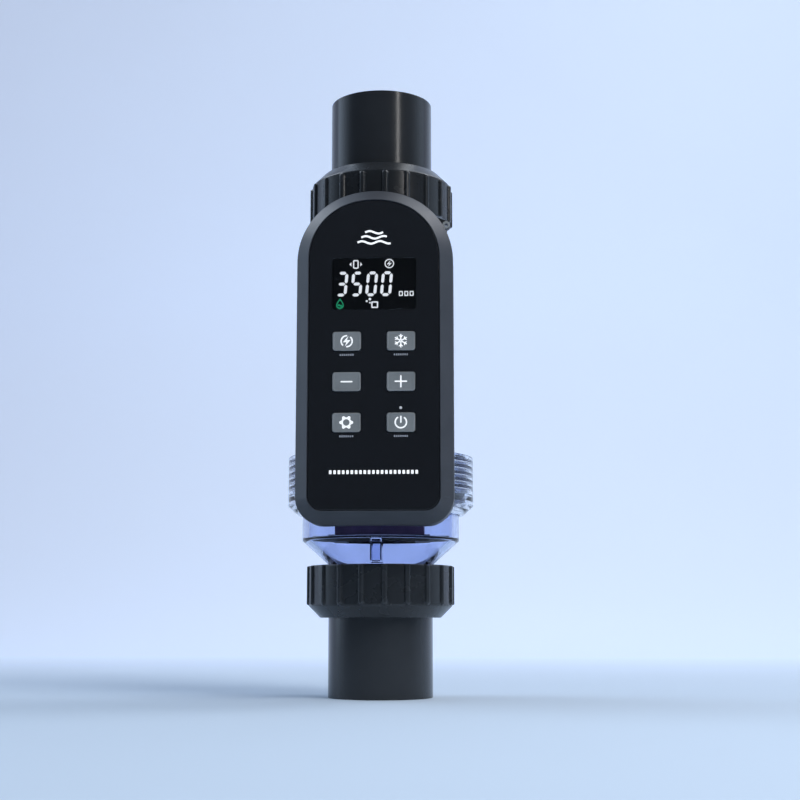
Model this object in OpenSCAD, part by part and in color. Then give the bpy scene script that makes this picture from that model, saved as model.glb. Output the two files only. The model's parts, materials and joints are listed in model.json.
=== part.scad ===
// Inline salt chlorine generator: a flow cell with a union at each end, a clear screwed
// lock ring round its middle, and a controller on its front.
// The frame: +Z runs up the flow axis, -Y is the controller's front, and the origin is the
// centre of the lower pipe end. All sizes are in millimetres.

/* [Pipe unions] */
// Outer diameter of the pipe spigots
spigot_od = 63; // [60:0.5:63]
// Bore of the glue sockets inside the spigots
socket_bore = 50; // [46:0.5:50]
// Depth of a glue socket, down to its stop
socket_depth = 31; // [20:1:36]
// Length of a spigot that stands clear of its nut
spigot_reach = 47.3; // [46:0.1:60]
// Outer diameter of a union nut over its grip ribs
nut_od = 89.4; // [89:0.1:90]
// Height of a union nut
nut_height = 31; // [30.5:0.5:32]
// Number of grip ribs round a union nut
nut_ribs = 20; // [12:1:24]
// Radial height of a grip rib
rib_height = 1.3; // [0.8:0.1:1.6]
// Width of a grip rib
rib_width = 4.2; // [3:0.1:5]

/* [Flow cell] */
// Height of the whole unit, from pipe end to pipe end
overall_height = 368.6; // [366:0.2:380]
// Outer diameter of the lower chamber
chamber_od = 95.2; // [94:0.2:96]
// Outer diameter of the tube behind the controller
tube_od = 80; // [78:0.5:80]
// Wall of the clear housings
housing_wall = 3.6; // [3:0.1:4]
// Outer diameter of the lock ring
ring_od = 112.8; // [112:0.2:113]
// Lowest level of the lock ring
ring_z0 = 108.7; // [108:0.1:109]
// Highest level of the lock ring
ring_z1 = 143.9; // [143.5:0.1:144.5]
// Width of the moulded key on the front of the lower chamber
rib_key_width = 6.6; // [5:0.2:8]
// Distance from one thread ridge to the next
thread_pitch = 4; // [3.8:0.1:4]

/* [Electrodes] */
// Width of an electrode plate
plate_width = 53; // [48:1:54]
// Distance from one plate to the next
plate_pitch = 5; // [4.5:0.1:5]
// Thickness of a plate
plate_thickness = 1; // [0.8:0.1:1.2]

/* [Controller] */
// Width of the controller case
case_width = 91.2; // [90:0.2:92]
// Level of the case's bottom edge
case_z0 = 99.2; // [99:0.1:100]
// Level of the case's highest point
case_z1 = 295.6; // [295:0.1:296]
// Distance from the flow axis to the front of the bezel
case_front = 70; // [70:0.5:74]
// Width of the sloping bezel band
bezel_width = 7.8; // [7:0.1:8]
// Width of the display window
window_width = 48.6; // [46:0.2:50]
// Height of the display window
window_height = 30.6; // [28:0.2:31]
// Width of a key
key_width = 16.2; // [14:0.2:17]
// Height of a key
key_height = 11; // [10:0.2:12]
// Distance between the two key columns
key_column_pitch = 31.1; // [30:0.1:32]
// Distance between the key rows
key_row_pitch = 23.5; // [22:0.1:25]
// Travel of a key
key_travel = 0.5; // [0.3:0.1:0.5]

/* [Hidden] */
$fn = 96;
gap = 0.3;

// Levels and radii of the unions
nut_z1 = spigot_reach + nut_height;
nut_root_r = nut_od / 2 - rib_height;
nut_chamfer = 7;
nut_lip = 4.7;
spigot_r = spigot_od / 2;
socket_r = socket_bore / 2;
stop_r = socket_r - 2;
flange_z0 = spigot_reach + nut_lip + gap;
flange_z1 = flange_z0 + 5.6;
flange_r = 35.6;
neck_z0 = flange_z1 + 0.4;
neck_z1 = nut_z1 - 1.9;
neck_r = 31;
neck_ridges = 4;
ridge_root_r = 36;
ridge_crest_r = 37.4;
groove_root_r = 37.9;
groove_crest_r = 36.6;
seal_r0 = 27.5;
seal_r1 = 31;
seal_depth = 1.6;

// Levels and radii of the housings
chamber_r = chamber_od / 2;
chamber_inner_r = chamber_r - 4;
cone_z0 = nut_z1 + 0.1;
cone_z1 = cone_z0 + 14.8;
collar_z0 = ring_z0 + 4.3;
collar_z1 = collar_z0 + 3.4;
collar_r = 52;
seal_z0 = collar_z1;
seal_z1 = seal_z0 + 3.4;
skirt_z1 = ring_z1;
shoulder_z1 = skirt_z1 + 7;
skirt_root_r = 52.1;
skirt_crest_r = 53.5;
skirt_inner_r = 46;
skirt_ridges = 5;
ring_r = ring_od / 2;
ring_root_r = 54;
ring_crest_r = 52.6;
ring_lip_r = chamber_r + 0.6;
tube_r = tube_od / 2;
tube_inner_r = tube_r - housing_wall;
tube_z1 = 270;
top_cone_z1 = overall_height - cone_z0;

// The flat pad that carries the controller
pad_y = -45.2;
pad_width = 42;
pad_z0 = 166;
pad_z1 = 262;
pad_screw_x = 16;
pad_screw_z = [174, 254];
post_x = 14;
post_z = 228;
post_r = 3;
post_front_y = -56;
post_seal_r = 5.5;
post_seal_depth = 2;
post_nut_r = 5.8;
post_nut_height = 4;
strap_half = 4;
strap_thickness = 1.2;
anode_y = -17;
cathode_y = -20.5;
lead_thickness = 0.9;
lead_z1 = post_z + 10;
pad_screw_r = 1.5;
pad_screw_head_r = 3;

// The case's outline: one arc on top, one at each shoulder and one at each lower corner
case_half = case_width / 2;
corner_r = 16.5;
shoulder_r = 42;
crown_r = 54;
crown_z = case_z1 - crown_r;
shoulder_x = case_half - shoulder_r;
shoulder_rise = sqrt(pow(crown_r - shoulder_r, 2) - pow(shoulder_x, 2));
shoulder_angle = atan2(shoulder_rise, shoulder_x);

// Depths in the case, all measured forwards from the flow axis as negative y
bezel_y = -case_front;
rim_y = bezel_y + 9;
split_y = bezel_y + 12;
case_back_y = -46;
case_wall = 2.5;
rear_inner_y = case_back_y - case_wall;
panel_y = bezel_y + 0.8;
panel_back_y = panel_y + 0.8;
face_back_y = panel_back_y + 1.4;
panel_inset = bezel_width + 0.3;
cavity_inset = bezel_width + 2.4;
board_front_y = bezel_y + 6.6;
board_back_y = board_front_y + 1.6;
relief_r = ring_r + 0.8;
relief_z1 = skirt_z1 + 5.8;
relief_wall = 2;

// The controls
window_z = 237.9;
key_low_z = 157.1;
key_y = panel_y - 0.7;
key_flange_y = face_back_y + 0.2;
key_gap = 0.35;
lens_thickness = 1;
key_places = [for (row = [2, 1, 0], side = [-1, 1])
    [side * key_column_pitch / 2, key_low_z + row * key_row_pitch]];
key_names = ["key_boost", "key_winter", "key_minus", "key_plus", "key_settings", "key_power"];
light_x = 15.4;
light_z = 165.5;

// The board and what stands on it
board_width = 68;
board_height = 156;
board_z = 190;
relay_x = 27;
relay_size = [15, 9.8, 19];
relay_z0 = 194;
capacitor_x = 6;
capacitor_z = 250;
sink_width = 22;
sink_z0 = 184;
sink_z1 = 216;
sink_base = 2;
sink_fin = 1;
sink_fin_pitch = 4;
switch_size = 6;

// Fasteners of the case
screw_places = [[-39.3, 118], [39.3, 118], [-39.3, 182], [39.3, 182],
    [-39.3, 246], [39.3, 246], [0, 287]];
board_screw_places = [[-30, 118], [30, 118], [-30, 262], [30, 262]];
screw_r = 1.5;
screw_head_r = 2.8;
screw_seat_y = case_back_y - 3;
boss_r = 3.4;
board_boss_r = 3;
front_boss_y = bezel_y + 7.5;

// The lug on the shoulder and the cable gland
lug_x = 41.5;
lug_z = 275.2;
lug_r = 2.6;
lug_hole_r = 0.95;
lug_thickness = 4;
gland_x = -33;
gland_z = 266;
cable_r = 2.6;
gland_r = 4.9;
gland_hex_r = 7;
gland_hex_height = 3.5;
sleeve_r = 3.85;
sleeve_y1 = case_back_y + 9;

// The electrode pack and the flow switch
plate_count = 7;
plate_z0 = 94.6;
plate_z1 = 236;
comb_half_x = 30;
comb_half_y = 18.5;
comb_rail = 9;
comb_bar = 1.5;
comb_lug = 8;
comb_height = 3;
comb_z0 = plate_z0 - 1.2;
upper_comb_z0 = plate_z1 - 2.4;
lower_lug_reach = chamber_inner_r - 2;
upper_lug_reach = tube_inner_r - 0.6;
paddle_y = -32;
paddle_z = 258;
paddle_pin_r = 1.2;
paddle_droop = 30;
paddle_reach = 24;

plate_names = [for (i = [1:plate_count]) str("electrode_plate_", i)];

// ---------- shared shapes ----------

// Thread ridges as [radius, level] points, from their base radius to their tip radius
function ridges(base, tip, z, count) = [
    for (i = [0:count - 1], p = [[base, 0], [tip, 0.8], [tip, 1.6], [base, 2.4]])
        [p[0], z + i * thread_pitch + p[1]]];

// The same outline, turned over end for end about the middle of the unit
function flipped(points) = [
    for (i = [len(points) - 1:-1:0])
        [points[i][0], overall_height - points[i][1]]];

function arc(x, z, r, from, to, steps) = [for (i = [0:steps])
    let (a = from + (to - from) * i / steps) [x + r * cos(a), z + r * sin(a)]];

// The case's outline, grown outwards by g (inwards where g is negative)
function case_outline(g) = concat(
    arc(case_half - corner_r, case_z0 + corner_r, corner_r + g, -90, 0, 8),
    arc(shoulder_x, crown_z + shoulder_rise, shoulder_r + g, 0, shoulder_angle, 12),
    arc(0, crown_z, crown_r + g, shoulder_angle, 180 - shoulder_angle, 8),
    arc(-shoulder_x, crown_z + shoulder_rise, shoulder_r + g, 180 - shoulder_angle, 180, 12),
    arc(corner_r - case_half, case_z0 + corner_r, corner_r + g, 180, 270, 8));

// A flat shape drawn in X and Z, from the depth y_front back to y_back
module slab(y_front, y_back) {
    translate([0, y_back, 0])
        rotate([90, 0, 0])
            linear_extrude(y_back - y_front)
                children();
}

module case_slab(y_front, y_back, g = 0) {
    slab(y_front, y_back)
        polygon(case_outline(g));
}

// A round bar along Y at x, z
module rod_y(x, z, r, y_front, y_back) {
    translate([x, y_back, z])
        rotate([90, 0, 0])
            cylinder(h = y_back - y_front, r = r);
}

// A box given by its lowest and highest corners
module block(low, high) {
    translate(low)
        cube(high - low);
}

module rounded_rect(w, h, r) {
    union() {
        square([w - 2 * r, h], center = true);
        square([w, h - 2 * r], center = true);
        for (x = [-1, 1], z = [-1, 1])
            translate([x * (w / 2 - r), z * (h / 2 - r)])
                circle(r, $fn = 24);
    }
}

module at_top() {
    translate([0, 0, overall_height])
        mirror([0, 0, 1])
            children();
}

// A pan-head screw along Y: the head's seat is at y_seat and the thread runs towards -Y
module screw_y(x, z, r, head_r, y_seat, length, head = 2) {
    difference() {
        union() {
            rod_y(x, z, r, y_seat - length, y_seat);
            rod_y(x, z, head_r, y_seat, y_seat + head);
        }
        slab(y_seat + head - 0.9, y_seat + head + 1)
            translate([x, z])
                circle(head_r * 0.5, $fn = 6);
    }
}

// ---------- unions ----------

module tailpiece() {
    color([0.05, 0.055, 0.065])
        difference() {
            union() {
                cylinder(h = flange_z1 - 0.5, r = spigot_r);
                translate([0, 0, flange_z0])
                    cylinder(h = flange_z1 - flange_z0, r = flange_r);
            }
            translate([0, 0, -1])
                cylinder(h = socket_depth + 1, r = socket_r);
            cylinder(h = flange_z1 + 1, r = stop_r);
            translate([0, 0, flange_z1 - seal_depth])
                difference() {
                    cylinder(h = 5, r = seal_r1 + 0.05);
                    translate([0, 0, -1])
                        cylinder(h = 7, r = seal_r0 - 0.05);
                }
        }
}

module union_seal() {
    color([0.08, 0.08, 0.085])
        translate([0, 0, flange_z1 - seal_depth])
            difference() {
                cylinder(h = neck_z0 - flange_z1 + seal_depth, r = seal_r1);
                translate([0, 0, -1])
                    cylinder(h = 8, r = seal_r0);
            }
}

module union_nut() {
    bore = concat(
        [[spigot_r + 0.5, spigot_reach], [spigot_r + 0.5, flange_z0 - gap], [36.2, flange_z0 - gap],
            [36.2, flange_z1 + 0.6], [groove_root_r, flange_z1 + 2.3]],
        ridges(groove_root_r, groove_crest_r, neck_z0 + 3, neck_ridges),
        [[groove_root_r, nut_z1]]);
    shell = [[nut_root_r, nut_z1], [nut_root_r, spigot_reach + nut_chamfer],
        [nut_root_r - nut_chamfer, spigot_reach]];
    color([0.045, 0.05, 0.06])
        union() {
            rotate_extrude()
                polygon(concat(bore, shell));
            translate([0, 0, spigot_reach + nut_chamfer + 0.2])
                linear_extrude(nut_z1 - spigot_reach - nut_chamfer - 0.2)
                    difference() {
                        intersection() {
                            circle(nut_od / 2);
                            union() {
                                for (i = [0:nut_ribs - 1])
                                    rotate((i + 0.35) * 360 / nut_ribs)
                                        translate([0, -rib_width / 2])
                                            square([nut_od, rib_width]);
                            }
                        }
                        circle(nut_root_r - 0.5);
                    }
        }
}

module lower_tailpiece() tailpiece();
module lower_union_seal() union_seal();
module lower_union_nut() union_nut();
module upper_tailpiece() at_top() tailpiece();
module upper_union_seal() at_top() union_seal();
module upper_union_nut() at_top() union_nut();

// ---------- housings ----------

neck_side = concat([[ridge_root_r, neck_z0]],
    ridges(ridge_root_r, ridge_crest_r, neck_z0 + 1, neck_ridges),
    [[ridge_root_r, neck_z1], [neck_r, neck_z1], [neck_r, cone_z0]]);

module lower_housing() {
    inner = [[collar_r, collar_z1], [chamber_inner_r, collar_z1], [chamber_inner_r, cone_z1 + 1.6],
        [socket_r + 1.5, cone_z0 + 1.4], [socket_r, cone_z0], [socket_r, neck_z0]];
    color([0.45, 0.55, 0.95, 0.4])
        union() {
            rotate_extrude()
                polygon(concat(neck_side, [[chamber_r, cone_z1], [chamber_r, collar_z0],
                    [collar_r, collar_z0]], inner));
            // Moulded key: a gusset under the chamber, flush with its wall
            translate([-rib_key_width / 2, 0, 0])
                rotate([90, 0, 90])
                    linear_extrude(rib_key_width)
                        polygon([[-neck_r + 0.5, cone_z0 + 0.6], [-chamber_r + 1.2, cone_z0 + 0.6],
                            [-chamber_r + 0.15, cone_z0 + 1.7], [-chamber_r + 0.15, cone_z1 + 1],
                            [-neck_r - 8, cone_z1]]);
            // Guide rib inside the chamber
            block([-rib_key_width / 2, -chamber_inner_r - 1, cone_z1 + 3],
                [rib_key_width / 2, -chamber_inner_r + 2.2, collar_z1 - 2]);
        }
}

module upper_housing() {
    skirt = concat([[skirt_inner_r, seal_z1], [skirt_root_r, seal_z1]],
        ridges(skirt_root_r, skirt_crest_r, seal_z1 + 1.4, skirt_ridges),
        [[skirt_root_r, skirt_z1], [tube_r + 3, skirt_z1 + 4.4], [tube_r, shoulder_z1],
            [tube_r, tube_z1], [neck_r, top_cone_z1]]);
    inner = [[socket_r, overall_height - neck_z0], [socket_r, top_cone_z1 - 3.6],
        [tube_inner_r, tube_z1 - 3], [tube_inner_r, shoulder_z1 + 4],
        [skirt_inner_r, skirt_z1 - 2]];
    color([0.6, 0.68, 0.95, 0.4])
        difference() {
            union() {
                rotate_extrude()
                    polygon(concat(skirt, flipped(neck_side), inner));
                difference() {
                    block([-pad_width / 2, pad_y, pad_z0], [pad_width / 2, -tube_r + 8, pad_z1]);
                    translate([0, 0, pad_z0 - 1])
                        cylinder(h = pad_z1 - pad_z0 + 2, r = tube_inner_r + 1);
                }
            }
            for (x = [-post_x, post_x]) {
                rod_y(x, post_z, post_r + 0.05, pad_y - 1, -20);
                rod_y(x, post_z, post_seal_r + 0.1, pad_y - 1, pad_y + post_seal_depth);
            }
            for (x = [-pad_screw_x, pad_screw_x], z = pad_screw_z)
                rod_y(x, z, pad_screw_r + 0.05, pad_y - 1, pad_y + 7);
        }
}

module lock_ring() {
    bore = concat([[ring_lip_r, ring_z0], [ring_lip_r, collar_z0 - gap],
        [ring_crest_r + 0.1, collar_z0 - gap], [ring_crest_r + 0.1, seal_z0 + 0.4],
        [ring_root_r, seal_z1 + 1]],
        ridges(ring_root_r, ring_crest_r, seal_z1 + 3.4, skirt_ridges),
        [[ring_root_r, ring_z1]]);
    color([0.78, 0.83, 0.95, 0.4])
        rotate_extrude()
            polygon(concat(bore, [[ring_r - 0.9, ring_z1], [ring_r, ring_z1 - 0.9],
                [ring_r, ring_z0 + 5.4], [ring_lip_r + 2, ring_z0]]));
}

module housing_seal() {
    color([0.03, 0.03, 0.035])
        translate([0, 0, seal_z0])
            difference() {
                cylinder(h = seal_z1 - seal_z0, r = 51.4);
                translate([0, 0, -1])
                    cylinder(h = 8, r = skirt_inner_r + 0.6);
            }
}

// ---------- electrodes ----------

function plate_y(i) = (i - (plate_count - 1) / 2) * plate_pitch;

module electrode_plate(i) {
    color([0.24, 0.2, 0.26])
        block([-plate_width / 2, plate_y(i) - plate_thickness / 2, plate_z0],
            [plate_width / 2, plate_y(i) + plate_thickness / 2, plate_z1]);
}

// A frame across the pack, with a slot at both sides for each plate
module plate_comb(z0, slot_z0, slot_z1, lug_reach) {
    color([0.07, 0.07, 0.08])
        difference() {
            union() {
                for (side = [-1, 1]) {
                    translate([side * (comb_half_x - comb_rail / 2), 0, z0])
                        linear_extrude(comb_height)
                            square([comb_rail, 2 * comb_half_y], center = true);
                    translate([0, side * (comb_half_y - comb_bar / 2), z0])
                        linear_extrude(comb_height)
                            square([2 * comb_half_x, comb_bar], center = true);
                }
                translate([0, 0, z0])
                    linear_extrude(comb_height)
                        difference() {
                            square([2 * lug_reach, comb_lug], center = true);
                            square([2 * comb_half_x - comb_rail, comb_lug + 2], center = true);
                        }
            }
            for (i = [0:plate_count - 1])
                block([-plate_width / 2, plate_y(i) - plate_thickness / 2, slot_z0],
                    [plate_width / 2, plate_y(i) + plate_thickness / 2, slot_z1]);
        }
}

module lower_plate_comb() plate_comb(comb_z0, plate_z0, comb_z0 + 2 * comb_height, lower_lug_reach);
module upper_plate_comb() plate_comb(upper_comb_z0, upper_comb_z0 - comb_height, plate_z1, upper_lug_reach);

// Short tab from the left post to the front plate
module anode_strap() {
    color([0.6, 0.6, 0.62])
        block([-post_x - strap_half, anode_y, post_z - strap_half],
            [-post_x + strap_half, plate_y(0) - plate_thickness / 2, post_z + strap_half]);
}

// Strip from the right post, round the pack's side, to the rear plate
module cathode_strap() {
    rear_y = plate_y(plate_count - 1) + plate_thickness / 2;
    front_y = cathode_y + strap_thickness;
    side_x = plate_width / 2 + strap_thickness + 1.1;
    low_z = post_z - strap_half;
    high_z = post_z + strap_half;
    color([0.6, 0.6, 0.62])
        union() {
            block([post_x - strap_half, cathode_y, low_z], [side_x, front_y, high_z]);
            block([side_x - strap_thickness, cathode_y, low_z], [side_x, rear_y + strap_thickness, high_z]);
            block([plate_width / 2 - 6.5, rear_y, low_z], [side_x, rear_y + strap_thickness, high_z]);
        }
}

module terminal_posts() {
    color([0.62, 0.62, 0.64]) {
        rod_y(-post_x, post_z, post_r, post_front_y, anode_y);
        rod_y(post_x, post_z, post_r, post_front_y, cathode_y);
    }
}

module terminal_seals() {
    color([0.08, 0.08, 0.085])
        for (x = [-post_x, post_x])
            difference() {
                rod_y(x, post_z, post_seal_r, pad_y, pad_y + post_seal_depth);
                rod_y(x, post_z, post_r + 0.02, pad_y - 1, 0);
            }
}

module terminal_nuts() {
    color([0.8, 0.68, 0.36])
        for (x = [-post_x, post_x])
            difference() {
                slab(rear_inner_y - post_nut_height, rear_inner_y)
                    translate([x, post_z])
                        circle(post_nut_r, $fn = 6);
                rod_y(x, post_z, post_r + 0.02, post_front_y, 0);
            }
}

// Copper strips from the posts' ends to the back of the board
module terminal_leads() {
    color([0.8, 0.45, 0.3])
        for (x = [-post_x, post_x])
            union() {
                block([x - strap_half, post_front_y - lead_thickness, post_z - strap_half],
                    [x + strap_half, post_front_y, lead_z1]);
                block([x - strap_half, board_back_y, lead_z1 - lead_thickness],
                    [x + strap_half, post_front_y, lead_z1]);
            }
}

// ---------- flow switch ----------

module paddle_bracket() {
    color([0.07, 0.07, 0.08])
        difference() {
            intersection() {
                union() {
                    for (x = [-6, 6])
                        translate([x, 0, 0])
                            block([-1.5, -tube_r, paddle_z - 4], [1.5, paddle_y + 3, paddle_z + 4]);
                    block([-7.5, -tube_r, paddle_z + 4], [7.5, paddle_y + 3, paddle_z + 6.5]);
                }
                cylinder(h = overall_height, r = tube_inner_r);
            }
            translate([-9, paddle_y, paddle_z])
                rotate([0, 90, 0])
                    cylinder(h = 18, r = paddle_pin_r, $fn = 32);
        }
}

module paddle_pin() {
    color([0.62, 0.62, 0.64])
        translate([-7.5, paddle_y, paddle_z])
            rotate([0, 90, 0])
                cylinder(h = 15, r = paddle_pin_r, $fn = 32);
}

// Places children in the paddle's own frame: the hub on X, the blade along +Y
module paddle_frame() {
    translate([0, paddle_y, paddle_z])
        rotate([-paddle_droop, 0, 0])
            children();
}

module flow_paddle() {
    color([0.1, 0.1, 0.12])
        paddle_frame()
            difference() {
                union() {
                    translate([-4.1, 0, 0])
                        rotate([0, 90, 0])
                            cylinder(h = 8.2, r = 2.4);
                    block([-2, 1.2, -0.9], [2, 10, 0.9]);
                    translate([0, 15, -0.9])
                        cylinder(h = 1.8, r = paddle_reach - 15);
                }
                translate([-5, 0, 0])
                    rotate([0, 90, 0])
                        cylinder(h = 10, r = paddle_pin_r + 0.06, $fn = 32);
                translate([0, 12, -2])
                    cylinder(h = 2, r = 2.5);
            }
}

module paddle_magnet() {
    color([0.55, 0.56, 0.58])
        paddle_frame()
            translate([0, 12, -2])
                cylinder(h = 2, r = 2.5);
}

module reed_sensor() {
    color([0.12, 0.12, 0.14])
        block([-2.5, rear_inner_y - 2.6, 260], [2.5, rear_inner_y, 275]);
}

// ---------- controller case ----------

// Openings in the face for the display, the keys and the status light
module face_openings(y_front, y_back) {
    slab(y_front, y_back)
        union() {
            translate([0, window_z])
                rounded_rect(window_width, window_height, 1.5);
            for (p = key_places)
                translate(p)
                    rounded_rect(key_width + 2 * key_gap, key_height + 2 * key_gap, 1.8);
        }
    rod_y(light_x, light_z, 0.9, y_front, y_back);
}

module front_shell() {
    color([0.15, 0.16, 0.18])
        difference() {
            union() {
                difference() {
                    union() {
                        case_slab(rim_y, split_y);
                        hull() {
                            case_slab(rim_y, rim_y + 0.1);
                            case_slab(bezel_y, bezel_y + 0.1, -bezel_width + 0.1);
                        }
                    }
                    hull() {
                        case_slab(face_back_y, face_back_y + 0.1, -cavity_inset);
                        case_slab(rim_y + 1, rim_y + 1.1, -case_wall);
                    }
                    case_slab(rim_y + 1, split_y + 1, -case_wall);
                }
                for (p = screw_places)
                    rod_y(p[0], p[1], boss_r, front_boss_y, split_y);
                for (p = board_screw_places)
                    rod_y(p[0], p[1], board_boss_r, face_back_y - 0.5, board_front_y);
            }
            case_slab(bezel_y - 1, panel_back_y, -bezel_width);
            face_openings(bezel_y - 1, face_back_y + 1);
            for (p = screw_places)
                rod_y(p[0], p[1], screw_r + 0.05, split_y - 4, split_y + 1);
            for (p = board_screw_places)
                rod_y(p[0], p[1], screw_r + 0.05, panel_back_y + 1.2, board_front_y + 1);
        }
}

// The rear wall steps in round the lock ring, so the case closes over it
module back_shell() {
    color([0.07, 0.075, 0.085])
        difference() {
            union() {
                difference() {
                    case_slab(split_y, case_back_y);
                    case_slab(split_y - 1, rear_inner_y, -case_wall);
                }
                intersection() {
                    case_slab(-relief_r - relief_wall, case_back_y - 0.5, -case_wall - 0.3);
                    translate([0, 0, case_z0])
                        cylinder(h = relief_z1 + relief_wall - case_z0, r = relief_r + relief_wall);
                }
                for (p = screw_places)
                    rod_y(p[0], p[1], boss_r, split_y, rear_inner_y + 0.5);
                // Lug on the shoulder, joined to the side wall by a web
                rod_y(lug_x, lug_z, lug_r, split_y, split_y + lug_thickness);
                slab(split_y, split_y + lug_thickness - 1)
                    polygon([[lug_x - 3 * lug_r, lug_z + 2.3 * lug_r], [lug_x - 2.7 * lug_r, lug_z],
                        [lug_x - lug_r, lug_z - 1.4 * lug_r], [lug_x, lug_z - lug_r],
                        [lug_x + 0.4 * lug_r, lug_z + 0.85 * lug_r]]);
            }
            translate([0, 0, case_z0 - 1])
                cylinder(h = relief_z1 - case_z0 + 1, r = relief_r);
            rod_y(lug_x, lug_z, lug_hole_r, split_y - 1, split_y + lug_thickness + 1);
            for (p = screw_places) {
                rod_y(p[0], p[1], screw_r + 0.1, split_y - 1, 0);
                rod_y(p[0], p[1], screw_head_r + 0.3, screw_seat_y, 0);
            }
            for (x = [-post_x, post_x])
                rod_y(x, post_z, post_r + 0.2, -60, 0);
            for (x = [-pad_screw_x, pad_screw_x], z = pad_screw_z)
                rod_y(x, z, pad_screw_r + 0.3, -60, 0);
            rod_y(gland_x, gland_z, gland_r + 0.05, -60, 0);
        }
}

module shell_gasket() {
    color([0.02, 0.02, 0.022])
        difference() {
            case_slab(split_y - 0.9, split_y, -case_wall);
            case_slab(split_y - 2, split_y + 1, -case_wall - 1);
            for (p = screw_places)
                rod_y(p[0], p[1], boss_r + 0.1, split_y - 2, split_y + 1);
            cylinder(h = relief_z1, r = relief_r + relief_wall + 0.05);
        }
}

module pad_gasket() {
    color([0.08, 0.08, 0.085])
        difference() {
            block([-pad_width / 2, case_back_y, pad_z0], [pad_width / 2, pad_y, pad_z1]);
            block([-pad_width / 2 + 8.5, case_back_y - 1, pad_z0 + 14],
                [pad_width / 2 - 8.5, pad_y + 1, post_z - 8]);
            for (x = [-post_x, post_x])
                rod_y(x, post_z, post_r + 0.2, -50, 0);
            for (x = [-pad_screw_x, pad_screw_x], z = pad_screw_z)
                rod_y(x, z, pad_screw_r + 0.3, -50, 0);
        }
}

module front_panel() {
    color([0.02, 0.022, 0.028])
        difference() {
            case_slab(panel_y, panel_back_y, -panel_inset);
            face_openings(panel_y - 1, panel_back_y + 1);
        }
}

module display_window() {
    color([0.02, 0.02, 0.025, 0.6])
        slab(panel_y, panel_y + lens_thickness)
            translate([0, window_z])
                rounded_rect(window_width - 0.2, window_height - 0.2, 1.4);
}

// A block on the board, whose front steps forwards into the opening behind the window
module display_module() {
    color([0.03, 0.03, 0.035])
        union() {
            slab(face_back_y + 0.1, board_front_y)
                translate([0, window_z])
                    square([window_width + 2, window_height + 2], center = true);
            slab(panel_y + lens_thickness + 0.5, face_back_y + 0.2)
                translate([0, window_z])
                    square([window_width - 1, window_height - 1], center = true);
        }
}

// A key: its cap stands through the panel, and its flange stops it behind the face
module key(p) {
    color([0.47, 0.48, 0.5])
        union() {
            slab(key_y, key_flange_y)
                translate(p)
                    rounded_rect(key_width, key_height, 1.5);
            slab(key_flange_y, key_flange_y + 1)
                translate(p)
                    rounded_rect(key_width + 2.2, key_height + 2.2, 1.5);
            rod_y(p[0], p[1], 2, key_flange_y + 1, key_flange_y + 1.3);
        }
}

module status_light() {
    color([0.9, 0.92, 0.95])
        rod_y(light_x, light_z, 0.8, panel_y - 0.1, board_front_y);
}

// ---------- electronics ----------

module control_board() {
    color([0.05, 0.3, 0.16])
        difference() {
            slab(board_front_y, board_back_y)
                translate([0, board_z])
                    rounded_rect(board_width, board_height, 3);
            for (p = board_screw_places)
                rod_y(p[0], p[1], 1.6, board_front_y - 1, board_back_y + 1);
        }
}

module key_switches() {
    color([0.2, 0.2, 0.21])
        for (p = key_places)
            union() {
                slab(board_front_y - 1.3, board_front_y)
                    translate(p)
                        square(switch_size, center = true);
                rod_y(p[0], p[1], switch_size / 4, key_flange_y + 1.35 + key_travel, board_front_y);
            }
}

module relays() {
    color([0.1, 0.25, 0.6])
        for (x = [-relay_x, relay_x])
            translate([x - relay_size[0] / 2, board_back_y, relay_z0])
                cube(relay_size);
}

module capacitors() {
    color([0.08, 0.09, 0.14])
        for (x = [-capacitor_x, capacitor_x])
            rod_y(x, capacitor_z, 5, board_back_y, board_back_y + 11);
}

module heat_sink() {
    color([0.6, 0.61, 0.63])
        union() {
            block([-sink_width / 2, board_back_y, sink_z0],
                [sink_width / 2, board_back_y + sink_base, sink_z1]);
            for (x = [-sink_width / 2:sink_fin_pitch:sink_width / 2 - sink_fin])
                block([x, board_back_y + sink_base / 2, sink_z0],
                    [x + sink_fin, board_back_y + 10, sink_z1]);
        }
}

module buzzer() {
    color([0.06, 0.06, 0.07])
        rod_y(26, 170, 6, board_back_y, board_back_y + 5);
}

module terminal_block() {
    color([0.1, 0.4, 0.2])
        difference() {
            block([-30, board_back_y, 236], [-20, board_back_y + 8, 252]);
            for (z = [240, 248])
                rod_y(-25, z, 1.8, board_back_y + 3, board_back_y + 9);
        }
}

module board_screws() {
    color([0.7, 0.7, 0.72])
        for (p = board_screw_places)
            screw_y(p[0], p[1], screw_r, 2.7, board_back_y, 5, 1.8);
}

module shell_screws() {
    color([0.7, 0.7, 0.72])
        for (p = screw_places)
            screw_y(p[0], p[1], screw_r, screw_head_r, screw_seat_y, 12.5, 1.9);
}

// Their heads lie inside the case, so they are turned to face forwards
module pad_screws() {
    color([0.7, 0.7, 0.72])
        for (x = [-pad_screw_x, pad_screw_x], z = pad_screw_z)
            union() {
                rod_y(x, z, pad_screw_r, rear_inner_y, pad_y + 6.5);
                difference() {
                    rod_y(x, z, pad_screw_head_r, rear_inner_y - 2.2, rear_inner_y);
                    slab(rear_inner_y - 3, rear_inner_y - 1.2)
                        translate([x, z])
                            circle(pad_screw_head_r * 0.47, $fn = 6);
                }
            }
}

// ---------- cable gland ----------

module gland_body() {
    color([0.05, 0.055, 0.065])
        difference() {
            union() {
                rod_y(gland_x, gland_z, gland_r, case_back_y - 7, sleeve_y1);
                slab(case_back_y, case_back_y + gland_hex_height)
                    translate([gland_x, gland_z])
                        circle(gland_hex_r, $fn = 6);
            }
            rod_y(gland_x, gland_z, sleeve_r + 0.05, case_back_y - 8, 0);
        }
}

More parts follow.
